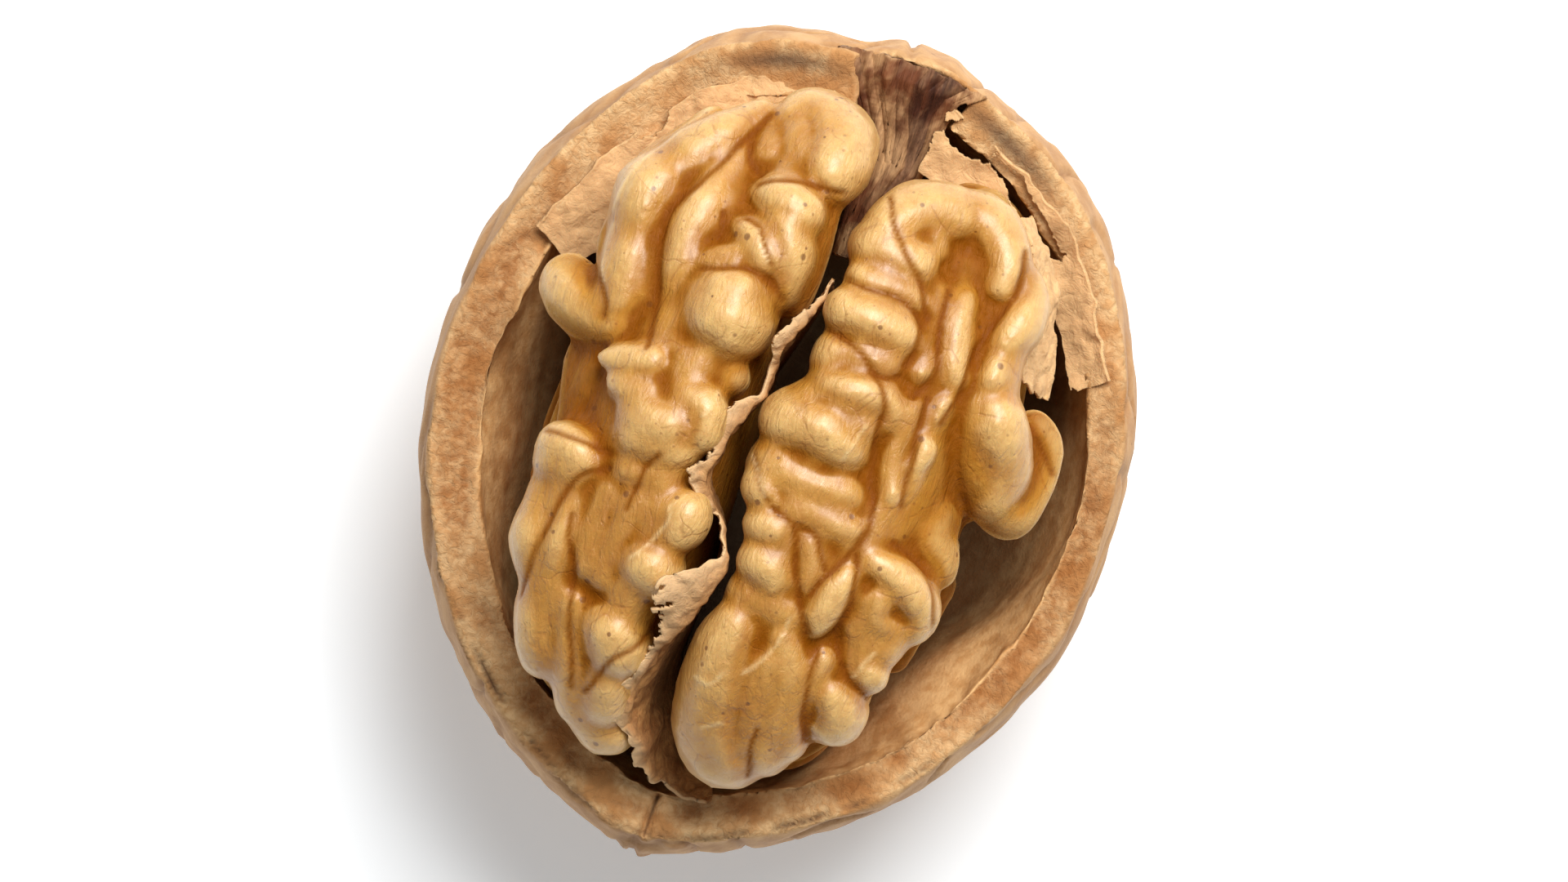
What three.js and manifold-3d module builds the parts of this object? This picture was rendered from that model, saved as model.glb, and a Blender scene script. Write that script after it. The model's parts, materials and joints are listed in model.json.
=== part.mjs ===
// Half a walnut: one half of the woody shell with the whole kernel still lying in it.
// The shell is broken across its suture, so the two seed halves stand on edge, side by side, with the
// papery septum between them and scraps of the shell's papery lining around them.
// Millimetres, +Z up. The shell stands on a small flat spot at z = 0, its pointed tip towards -Y and its
// stem end towards +Y. The origin is under the middle of the shell.
import * as THREE from "three";
import { mergeVertices } from "three/addons/utils/BufferGeometryUtils.js";
import Module from "manifold-3d";

const wasm = await Module();
wasm.setup();

// ---- driving dimensions ----
const HALF_WIDTH = 17.4; // of the shell, across the suture
const STEM_REACH = 20.7; // from the middle to the stem end
const TIP_REACH = 20.3; // from the middle to the pointed end, without the point itself
const TIP_POINT = 0.72; // how far the point stands out of that
const GIRTH_Z = 13.2; // height of the shell's widest line
const RIM_Z = 16.4; // mean height of the broken rim
const FLAT_DEPTH = 0.45; // how much of the round bottom the resting spot cuts off
const WALL = 2.2; // of the shell at its sides and bottom
const GAP = 0.35; // between neighbouring pieces

const AROUND = 60; // steps around the shell
const SHEET = 0.5; // thickness of a papery membrane

// ---- materials ----
const plain = (color, roughness) => new THREE.MeshStandardMaterial({ color, roughness, metalness: 0 });
const shellWood = plain(0xc79a66, 0.7);
const seedSkin = plain(0xcf9a4e, 0.42);
const paperySkin = plain(0xc9a27a, 0.8);
const darkFibre = plain(0x6b4c38, 0.75);

// ---- helpers ----
const { clamp, lerp, smoothstep, degToRad } = THREE.MathUtils;

function solidOf(geometry) {
  const bare = geometry.clone();
  bare.deleteAttribute("normal");
  bare.deleteAttribute("uv");
  const merged = mergeVertices(bare, 1e-4);
  return new wasm.Manifold(
    new wasm.Mesh({
      numProp: 3,
      vertProperties: merged.attributes.position.array,
      triVerts: new Uint32Array(merged.index.array),
    }),
  );
}

function meshOf(solid, name, material) {
  const { vertProperties, triVerts } = solid.getMesh();
  const geometry = new THREE.BufferGeometry();
  geometry.setAttribute("position", new THREE.BufferAttribute(vertProperties, 3));
  geometry.setIndex(new THREE.BufferAttribute(triVerts, 1));
  geometry.computeVertexNormals();
  const mesh = new THREE.Mesh(geometry, material);
  mesh.name = name;
  return mesh;
}

function moveVertices(geometry, place) {
  const position = geometry.attributes.position;
  const point = new THREE.Vector3();
  for (let i = 0; i < position.count; i++) {
    point.fromBufferAttribute(position, i);
    place(point);
    position.setXYZ(i, point.x, point.y, point.z);
  }
  return geometry;
}

// A straight-line table: rows of [y, value], in rising y.
function along(rows, y) {
  if (y <= rows[0][0]) return rows[0][1];
  const next = rows.findIndex(([at]) => at >= y);
  if (next < 0) return rows.at(-1)[1];
  const [[y0, v0], [y1, v1]] = [rows[next - 1], rows[next]];
  return lerp(v0, v1, (y - y0) / (y1 - y0));
}

// A membrane: a box whose u and v run over the sheet, each corner moved to place(u, v, w), where w is
// -0.5 on one face and 0.5 on the other.
function sheet(uSteps, vSteps, place) {
  const box = new THREE.BoxGeometry(1, 1, 1, uSteps, vSteps, 1);
  return moveVertices(box, (p) => p.copy(place(p.x + 0.5, p.y + 0.5, p.z)));
}

// ---- shell ----
const bump = (angle, at, width) => Math.exp(-(((angle - degToRad(at)) / width) ** 2));

// Plan outline: an oval, blunt at the stem end and drawn out to a point at the tip, with the suture's
// two low bulges and the notch between them at the stem end.
function outlineRadius(angle) {
  const stemSide = Math.sin(angle) > 0;
  const reach = stemSide ? STEM_REACH : TIP_REACH;
  const power = stemSide ? 2.1 : 1.9;
  const across = Math.abs(Math.cos(angle) / HALF_WIDTH) ** power;
  const lengthways = Math.abs(Math.sin(angle) / reach) ** power;
  const turn = angle < 0 ? angle + 2 * Math.PI : angle;
  return (
    (across + lengthways) ** (-1 / power) +
    TIP_POINT * bump(turn, 270, 0.19) +
    0.45 * bump(turn, 84, 0.08) -
    0.35 * bump(turn, 97, 0.1) +
    0.4 * bump(turn, 119, 0.2)
  );
}

// The break dips on the stem end's right side and rises a little at both ends.
const rimHeight = (angle) =>
  RIM_Z + 0.5 * Math.sin(2 * angle - 0.4) * Math.sin(angle) - 1.0 * bump(angle, 52, 0.5) +
  0.5 * bump(angle, 100, 0.35);

const wallAtRim = (angle) => 2.5 + 0.45 * Math.cos(angle - degToRad(165));

function makeShell() {
  const outerDepth = GIRTH_Z + FLAT_DEPTH;
  const steps = 9;
  const profile = [];
  for (let i = 0; i <= steps; i++) {
    const a = degToRad(-90 + (90 * i) / steps);
    profile.push(new THREE.Vector2(Math.cos(a), GIRTH_Z + outerDepth * Math.sin(a)));
  }
  profile.push(new THREE.Vector2(0.99, GIRTH_Z + 1.7));
  profile.push(new THREE.Vector2(0.965, RIM_Z));
  const innerSide = 1 - WALL / HALF_WIDTH;
  profile.push(new THREE.Vector2(innerSide - 0.015, RIM_Z));
  for (let i = 0; i <= steps; i++) {
    const a = degToRad(-(90 * i) / steps);
    profile.push(new THREE.Vector2(innerSide * Math.cos(a), GIRTH_Z + (GIRTH_Z - WALL) * Math.sin(a)));
  }
  profile[0].x = 0;
  profile.at(-1).x = 0;
  const turned = new THREE.LatheGeometry(profile, AROUND).rotateX(Math.PI / 2);
  return moveVertices(turned, (p) => {
    const share = Math.hypot(p.x, p.y);
    const angle = Math.atan2(p.y, p.x);
    const nearRim = smoothstep(p.z, GIRTH_Z - 3, RIM_Z);
    const isInner = p.z > WALL && share < innerSide + 0.001;
    const extraWall = isInner ? nearRim * (wallAtRim(angle) - WALL) : 0;
    const radius = share * outlineRadius(angle) - extraWall;
    p.x = radius * Math.cos(angle);
    p.y = radius * Math.sin(angle);
    p.z = Math.max(0, p.z + nearRim * (rimHeight(angle) - RIM_Z));
  });
}

// ---- kernel ----
// The kernel's folds all touch one blunt dome from inside, which is the other half shell's inner surface.
// Each seed half is an upright, flattened body with knobs for its folds.
const BLUNTNESS = 2.4; // of the dome and the bodies; 2 is a plain ellipsoid
const SKIN = { midZ: 15, halfWidth: 15.6, halfLength: 18, up: 12.6 };
const SEED = { midX: 6.3, halfWidth: 5.5, halfLength: 14.4, up: 10.1, down: 10.1 };
const KNOB_ROOT = 1.2; // how much taller than wide a knob is, to reach down into its body
const TIP_PINCH = { left: 1.2, right: 2.8 }; // how far each half's tip end is drawn in to the septum

function skinZ(x, y) {
  const across = Math.abs(x / SKIN.halfWidth) ** BLUNTNESS;
  const lengthways = Math.abs(y / SKIN.halfLength) ** BLUNTNESS;
  return SKIN.midZ + SKIN.up * Math.max(0.03, 1 - across - lengthways) ** (1 / BLUNTNESS);
}

function seedMidX(side, y) {
  const towardsTip = clamp(-y / SEED.halfLength, 0, 1);
  return side * (SEED.midX - (side < 0 ? TIP_PINCH.left : TIP_PINCH.right) * towardsTip ** 2);
}

function ball(x, y, z, rx, ry, rz, around, rings) {
  return new THREE.SphereGeometry(1, around, rings).rotateX(Math.PI / 2).scale(rx, ry, rz).translate(x, y, z);
}

function seedBody(side, grow) {
  const body = new THREE.SphereGeometry(1, 24, 16).rotateX(Math.PI / 2);
  return moveVertices(body, (p) => {
    const norm = [p.x, p.y, p.z].reduce((sum, part) => sum + Math.abs(part) ** BLUNTNESS, 0);
    p.multiplyScalar(norm ** (-1 / BLUNTNESS));
    p.y *= SEED.halfLength + grow;
    p.x = seedMidX(side, p.y) + p.x * (SEED.halfWidth + grow);
    p.z = SKIN.midZ + p.z * ((p.z > 0 ? SEED.up : SEED.down) + grow);
  });
}

// Knobs as [x, y, radius across, radius lengthways, how far below the skin].
const LEFT_KNOBS = [
  [-2.5, 15.1, 2.3, 1.8, 0],
  [-3.6, 13.4, 2.2, 2.2, 0.6],
  [-3.4, 11.0, 2.1, 2.0, 0],
  [-4.0, 5.6, 2.4, 2.4, 0],
  [-7.4, 13.2, 1.9, 2.2, 0.2],
  [-9.8, 9.4, 2.0, 2.8, 0],
  [-9.4, 4.9, 2.4, 2.6, 0.8],
  [-11.6, 4.4, 1.6, 1.2, 2.0],
  [-5.7, -0.3, 2.6, 2.4, 0],
  [-9.2, -3.7, 1.8, 1.6, 0.8],
  [-9.0, -7.9, 1.9, 2.6, 0.6],
  [-7.6, -11.9, 1.8, 2.5, 0.5],
  [-3.4, -5.4, 1.8, 1.8, 0],
  [-3.9, -9.3, 2.0, 3.4, 0.2],
  [-4.0, -14.4, 1.8, 2.5, 0.4],
];
const RIGHT_KNOBS = [
  [4.0, 13.5, 2.6, 2.0, 0],
  [7.6, 12.2, 1.6, 2.3, 0.2],
  [2.1, 11.0, 1.7, 2.2, 0],
  [2.6, 7.4, 2.4, 1.5, 0],
  [2.4, 4.6, 2.3, 1.7, 0],
  [1.4, 1.2, 2.5, 2.0, 0],
  [1.6, -2.6, 2.0, 1.9, 0.3],
  [1.7, -6.0, 1.8, 1.8, 0.2],
  [2.2, -11.5, 2.6, 5.2, 0.2],
  [9.2, 9.4, 1.7, 2.3, 0.4],
  [9.8, 4.3, 2.3, 2.6, 0],
  [11.9, 2.4, 1.5, 2.6, 2.6],
  [8.4, -4.8, 2.0, 1.8, 0.3],
  [7.3, -10.4, 1.9, 2.4, 0.4],
  [5.3, -6.6, 1.3, 1.8, 0.2],
];

// grow makes the same seed half a little fatter, as the tool that cuts room for it in a neighbour.
function makeSeed(side, knobs, grow = 0) {
  const knobSolids = knobs.map(([x, y, rx, ry, below]) => {
    const rz = Math.max(rx, ry) + KNOB_ROOT;
    const z = skinZ(x, y) - rz - below;
    return solidOf(ball(x, y, z, rx + grow, ry + grow, rz + grow, 14, 9));
  });
  return wasm.Manifold.union([solidOf(seedBody(side, grow)), ...knobSolids]);
}

// ---- septum ----
// A torn sheet that stands in the cleft. Its top edge leans on the left seed half and is torn lowest
// in the middle. Rows are [y, x of the top edge] and [y, height of the top edge].
const SEPTUM_LEAN = [
  [-17.0, 0.9],
  [-15.6, -1.6],
  [-14, -2.0],
  [-10, -1.6],
  [-6, -0.7],
  [-3, -1.5],
  [0, -1.9],
  [3.5, -0.9],
  [7, -0.3],
];
const SEPTUM_TOP = [
  [-17.0, 15.2],
  [-14, 20.2],
  [-10, 23.2],
  [-6, 24.2],
  [-3, 22.6],
  [0, 22.4],
  [3.5, 21.6],
  [7, 20.6],
];
const SEPTUM_ENDS = [-17.0, 7];
const SEPTUM_FOOT_GAP = 0.6; // over the shell's floor, which is faceted

// grow makes it fatter all round, as the tool that cuts room for it between the seed halves.
function makeSeptum(grow = 0) {
  return sheet(24, 5, (u, v, w) => {
    const y = lerp(SEPTUM_ENDS[0] - grow, SEPTUM_ENDS[1] + grow, u);
    const foot = shellFloor(0, y) + SEPTUM_FOOT_GAP - grow;
    const top = along(SEPTUM_TOP, y) + grow;
    const x = along(SEPTUM_LEAN, y) * v ** 3 + w * (SHEET + 2 * grow);
    return new THREE.Vector3(x, y, lerp(foot, top, v));
  });
}

// Height of the shell's inner surface above the ground.
function shellFloor(x, y) {
  const share = Math.hypot(x, y) / (outlineRadius(Math.atan2(y, x)) - WALL);
  return GIRTH_Z - (GIRTH_Z - WALL) * Math.sqrt(Math.max(0, 1 - Math.min(1, share) ** 2));
}

// ---- stem fibres ----
// The dark bundle of vessels that enters at the stem end and runs down into the cleft, tapering.
const FIBRE_TOP = [19.5, 17.0]; // y and z where it comes through the rim
const FIBRE_FOOT = [9.6, 13.2]; // y and z where it ends between the seed halves
const FIBRE_HALF_WIDTH = [2.7, 0.5]; // at the rim and at its foot
const FIBRE_DEPTH = 2.0;
const FIBRE_MID_X = 0.45;
const FIBRE_RIB = 0.15; // height of its ribs

// grow and lift make the bundle fatter and taller, as the tool that cuts its way through the shell.
function makeFibres(grow = 0, lift = 0) {
  return sheet(10, 4, (u, v, w) => {
    const halfWidth = lerp(...FIBRE_HALF_WIDTH, v ** 0.6) + grow;
    const y = lerp(FIBRE_TOP[0] + grow, FIBRE_FOOT[0] - grow, v) - (1 - v) * 0.5 * (2 * u - 1) ** 2;
    const rib = FIBRE_RIB * Math.cos(7 * Math.PI * u);
    const middle = lerp(FIBRE_TOP[1], FIBRE_FOOT[1], v) - FIBRE_DEPTH / 2;
    const z = middle - w * (FIBRE_DEPTH + 2 * grow) + rib + (w < 0 ? lift : 0);
    return new THREE.Vector3(FIBRE_MID_X + halfWidth * (2 * u - 1), y, z);
  });
}

// ---- lining ----
// Papery lining that has come off the shell and lies as a ledge between the rim and the kernel.
// It runs from one angle to the other, as wide as its rows of [share of the way, width] say, and drops
// from the wall towards the kernel.
function ledge(fromDeg, toDeg, widths, drop) {
  return sheet(10, 3, (u, v, w) => {
    const angle = degToRad(lerp(fromDeg, toDeg, u));
    const wallSide = outlineRadius(angle) - wallAtRim(angle) - LEDGE_GAP;
    const radius = wallSide - v * along(widths, u);
    const z = rimHeight(angle) - LEDGE_BELOW_RIM - v * drop + w * SHEET;
    return new THREE.Vector3(radius * Math.cos(angle), radius * Math.sin(angle), z);
  });
}

const LEDGE_GAP = 0.7; // to the shell's inner wall, which leans in a little
const LEDGE_BELOW_RIM = 0.4;
const LEFT_LEDGE_WIDTH = [
  [0, 1.4],
  [0.3, 2.8],
  [0.7, 2.6],
  [1, 1.2],
];
const RIGHT_LEDGE_WIDTH = [
  [0, 0.7],
  [0.4, 1.4],
  [1, 2.4],
];

// A torn flap of the lining that hangs on the right seed half's outer flank, along rows of
// [y, x of its upper edge, x of its lower edge].
const FLAP_UPPER = [
  [6.6, 10.9],
  [10, 11.0],
  [13.6, 8.6],
];
const FLAP_LOWER = [
  [6.6, 11.9],
  [10, 11.6],
  [13.6, 9.3],
];
const FLAP_HEIGHTS = [20.0, 17.4]; // of its upper and lower edges

function makeFlap() {
  return sheet(10, 3, (u, v, w) => {
    const y = lerp(FLAP_UPPER[0][0], FLAP_UPPER.at(-1)[0], u);
    const x = lerp(along(FLAP_UPPER, y), along(FLAP_LOWER, y), v);
    return new THREE.Vector3(x - w * SHEET, y, lerp(...FLAP_HEIGHTS, v));
  });
}

// ---- assembly ----
const without = (solid, ...tools) => tools.reduce((left, tool) => left.subtract(tool), solid);

const shell = solidOf(makeShell()).subtract(solidOf(makeFibres(GAP, 2)));
const septum = solidOf(makeSeptum());
const roomForSeptum = solidOf(makeSeptum(GAP));
const leftSeed = makeSeed(-1, LEFT_KNOBS).subtract(roomForSeptum);
const rightSeed = makeSeed(1, RIGHT_KNOBS).subtract(roomForSeptum);
const roomForLeft = makeSeed(-1, LEFT_KNOBS, GAP);
const roomForRight = makeSeed(1, RIGHT_KNOBS, GAP);

const fibres = without(solidOf(makeFibres()), roomForLeft, roomForRight);
const liningLeft = without(solidOf(ledge(98, 152, LEFT_LEDGE_WIDTH, 0.7)), roomForLeft);
const liningRight = without(solidOf(ledge(26, 76, RIGHT_LEDGE_WIDTH, 0.7)), roomForRight);
const liningFlap = without(solidOf(makeFlap()), roomForRight);

const walnut = new THREE.Group();
walnut.add(
  meshOf(shell, "shell_half", shellWood),
  meshOf(leftSeed, "kernel_left", seedSkin),
  meshOf(rightSeed, "kernel_right", seedSkin),
  meshOf(septum, "septum", paperySkin),
  meshOf(fibres, "stem_fibres", darkFibre),
  meshOf(liningLeft, "lining_left", paperySkin),
  meshOf(liningRight, "lining_right", paperySkin),
  meshOf(liningFlap, "lining_flap", paperySkin),
);

export default walnut;
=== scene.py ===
# %% [markdown]
# # Half a walnut with its kernel
# A walnut has been cracked across its seam and one half of the woody shell is left, open side up. The
# whole kernel still lies in it: two wrinkled seed halves on edge, side by side. Between them stands a
# papery wall, and scraps of the same papery lining hang round them. A dark bundle of fibres comes in at
# the stem end. This lesson starts from plain engineering solids, which say where everything is and how
# big it is, and gives each of them its real surface.

import bpy
import math
import random
import numpy as np
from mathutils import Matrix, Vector, noise
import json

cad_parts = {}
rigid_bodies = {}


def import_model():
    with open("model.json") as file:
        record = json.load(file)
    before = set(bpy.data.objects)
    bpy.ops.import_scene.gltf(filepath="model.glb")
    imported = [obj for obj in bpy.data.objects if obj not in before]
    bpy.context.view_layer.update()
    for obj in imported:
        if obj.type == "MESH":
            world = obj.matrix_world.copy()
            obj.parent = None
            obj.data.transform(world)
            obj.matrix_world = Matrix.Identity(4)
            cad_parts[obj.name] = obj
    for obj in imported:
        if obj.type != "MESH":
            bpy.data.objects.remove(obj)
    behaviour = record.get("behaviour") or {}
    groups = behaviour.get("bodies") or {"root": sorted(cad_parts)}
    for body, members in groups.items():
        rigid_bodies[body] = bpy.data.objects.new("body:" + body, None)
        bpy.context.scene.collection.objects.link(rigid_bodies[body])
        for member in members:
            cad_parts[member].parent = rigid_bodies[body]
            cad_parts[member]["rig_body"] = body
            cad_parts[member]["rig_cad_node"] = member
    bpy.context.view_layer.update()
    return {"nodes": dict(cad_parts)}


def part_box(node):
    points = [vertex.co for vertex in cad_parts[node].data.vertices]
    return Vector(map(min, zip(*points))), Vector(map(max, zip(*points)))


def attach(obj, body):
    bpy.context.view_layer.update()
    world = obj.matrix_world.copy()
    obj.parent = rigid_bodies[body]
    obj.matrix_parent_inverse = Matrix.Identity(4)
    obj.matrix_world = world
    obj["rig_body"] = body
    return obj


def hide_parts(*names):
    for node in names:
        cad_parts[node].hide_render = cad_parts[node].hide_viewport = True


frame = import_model()

# %% [markdown]
# ## Helpers
# All the shaping below is done in millimetres, because a nut is small and its sizes are easy to read
# that way. Blender works in metres, so points are turned into millimetres when they are read from a mesh
# and back when they are put into one.

# %% Read and write a mesh's points in millimetres
MM = 0.001


def box_mm(node):
    low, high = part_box(node)
    return np.array(low) / MM, np.array(high) / MM


def points_of(piece):
    flat = np.empty(3 * len(piece.data.vertices))
    piece.data.vertices.foreach_get("co", flat)
    return flat.reshape(-1, 3) / MM


def place_points(piece, points):
    piece.data.vertices.foreach_set("co", (points * MM).ravel())
    piece.data.update()


def normals_of(piece):
    flat = np.empty(3 * len(piece.data.vertices))
    piece.data.vertex_normals.foreach_get("vector", flat)
    return flat.reshape(-1, 3)


def select_only(piece):
    bpy.ops.object.select_all(action="DESELECT")
    piece.select_set(True)
    bpy.context.view_layer.objects.active = piece


def apply_modifier(piece, kind, **settings):
    modifier = piece.modifiers.new(kind.lower(), kind)
    for setting, value in settings.items():
        setattr(modifier, setting, value)
    select_only(piece)
    bpy.ops.object.modifier_apply(modifier=modifier.name)


def paint(piece, mask, values):
    layer = piece.data.attributes.get(mask) or piece.data.attributes.new(mask, "FLOAT", "POINT")
    layer.data.foreach_set("value", np.ascontiguousarray(values, dtype=np.float32))


# %% [markdown]
# Nothing that grew is perfectly even. Two kinds of noise roughen the shapes: one pushes every point a
# little in some direction, and the other gives each point a height between about -1 and 1. Both are
# smooth, and their wavelength says how far apart the bumps are. Noise starts out seeded by the clock, so
# it gets a fixed seed here. Without it no two builds of the nut would be the same.

# %% Smooth noise
NOISE_SEED = 5
noise.seed_set(NOISE_SEED)


def drift(points, wavelength, shift=0.0):
    return np.array([noise.noise_vector(Vector(p / wavelength + shift)) for p in points])


def ripple(points, wavelength, shift=0.0):
    return np.array([noise.noise(Vector(p / wavelength + shift)) for p in points])


def step(low, high, values):
    share = np.clip((values - low) / (high - low), 0, 1)
    return share * share * (3 - 2 * share)


def hump(values, width):
    return np.exp(-((values / width) ** 2))


# %% [markdown]
# Folds, veins and creases follow curved paths. A path is written as a few rows of numbers, and a curve
# that passes through all the rows fills in what lies between them.

# %% Curves through rows of numbers
def smooth_path(rows, per_row=8):
    rows = np.array(rows, float)
    padded = np.vstack([2 * rows[0] - rows[1], rows, 2 * rows[-1] - rows[-2]])
    curve = []
    for before, start, end, after in zip(padded, padded[1:], padded[2:], padded[3:]):
        for t in np.arange(per_row) / per_row:
            pull = (end - before) * t + (2 * before - 5 * start + 4 * end - after) * t**2
            curve.append(start + 0.5 * (pull + (3 * start - before - 3 * end + after) * t**3))
    curve.append(rows[-1])
    return np.array(curve)


def distance_to_path(flat_points, rows):
    path = smooth_path(rows, 5)[:, :2]
    nearest = np.full(len(flat_points), 1e9)
    for start, end in zip(path, path[1:]):
        along = end - start
        share = np.clip((flat_points - start) @ along / (along @ along), 0, 1)
        nearest = np.minimum(nearest, np.linalg.norm(flat_points - start - share[:, None] * along, axis=1))
    return nearest


# %% [markdown]
# How deep a point lies in a fold matters for both shape and colour: the colour puts painted shade in the
# folds, and on the seed a painted highlight on the crests. A copy of the surface that has been ironed
# smooth is the measure: a point that lies under the copy is in a fold, and one above is on a crest.

# %% How deep each point lies in the folds
def ironed(piece, points, rounds):
    edges = np.empty(2 * len(piece.data.edges), np.int64)
    piece.data.edges.foreach_get("vertices", edges)
    one, other = edges.reshape(-1, 2).T
    count = np.bincount(one, minlength=len(points)) + np.bincount(other, minlength=len(points))
    for _ in range(rounds):
        total = np.empty_like(points)
        for axis in range(3):
            total[:, axis] = np.bincount(one, points[other, axis], len(points))
            total[:, axis] += np.bincount(other, points[one, axis], len(points))
        points = 0.5 * points + 0.5 * total / count[:, None]
    return points


def depth_in_folds(piece, rounds):
    points = points_of(piece)
    return np.einsum("ij,ij->i", ironed(piece, points, rounds) - points, normals_of(piece))


# %% [markdown]
# ## The kernel
# A seed half is a body covered in rounded folds, like a little brain. All the folds on top touch one
# dome, because the other half shell pressed them into shape. So each fold is described as it is seen
# from above: a path with a thickness, and how far under the dome it stays. Beads are strung closely
# along every path, the lump of beads is turned into one skin by remeshing, and the skin is smoothed so
# that the folds flow into each other.

# %% The dome that the folds touch
left_low, left_high = box_mm("kernel_left")
_, right_high = box_mm("kernel_right")
DOME_TOP = max(left_high[2], right_high[2])
DOME_MIDDLE = 15.0
DOME_HALF_WIDTH = 15.6
DOME_HALF_LENGTH = 18.0
BLUNTNESS = 2.4
print("the kernel's dome rises to", round(DOME_TOP, 1), "mm")


def dome_height(x, y):
    share = np.abs(x / DOME_HALF_WIDTH) ** BLUNTNESS + np.abs(y / DOME_HALF_LENGTH) ** BLUNTNESS
    return DOME_MIDDLE + (DOME_TOP - DOME_MIDDLE) * np.maximum(0.03, 1 - share) ** (1 / BLUNTNESS)


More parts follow.
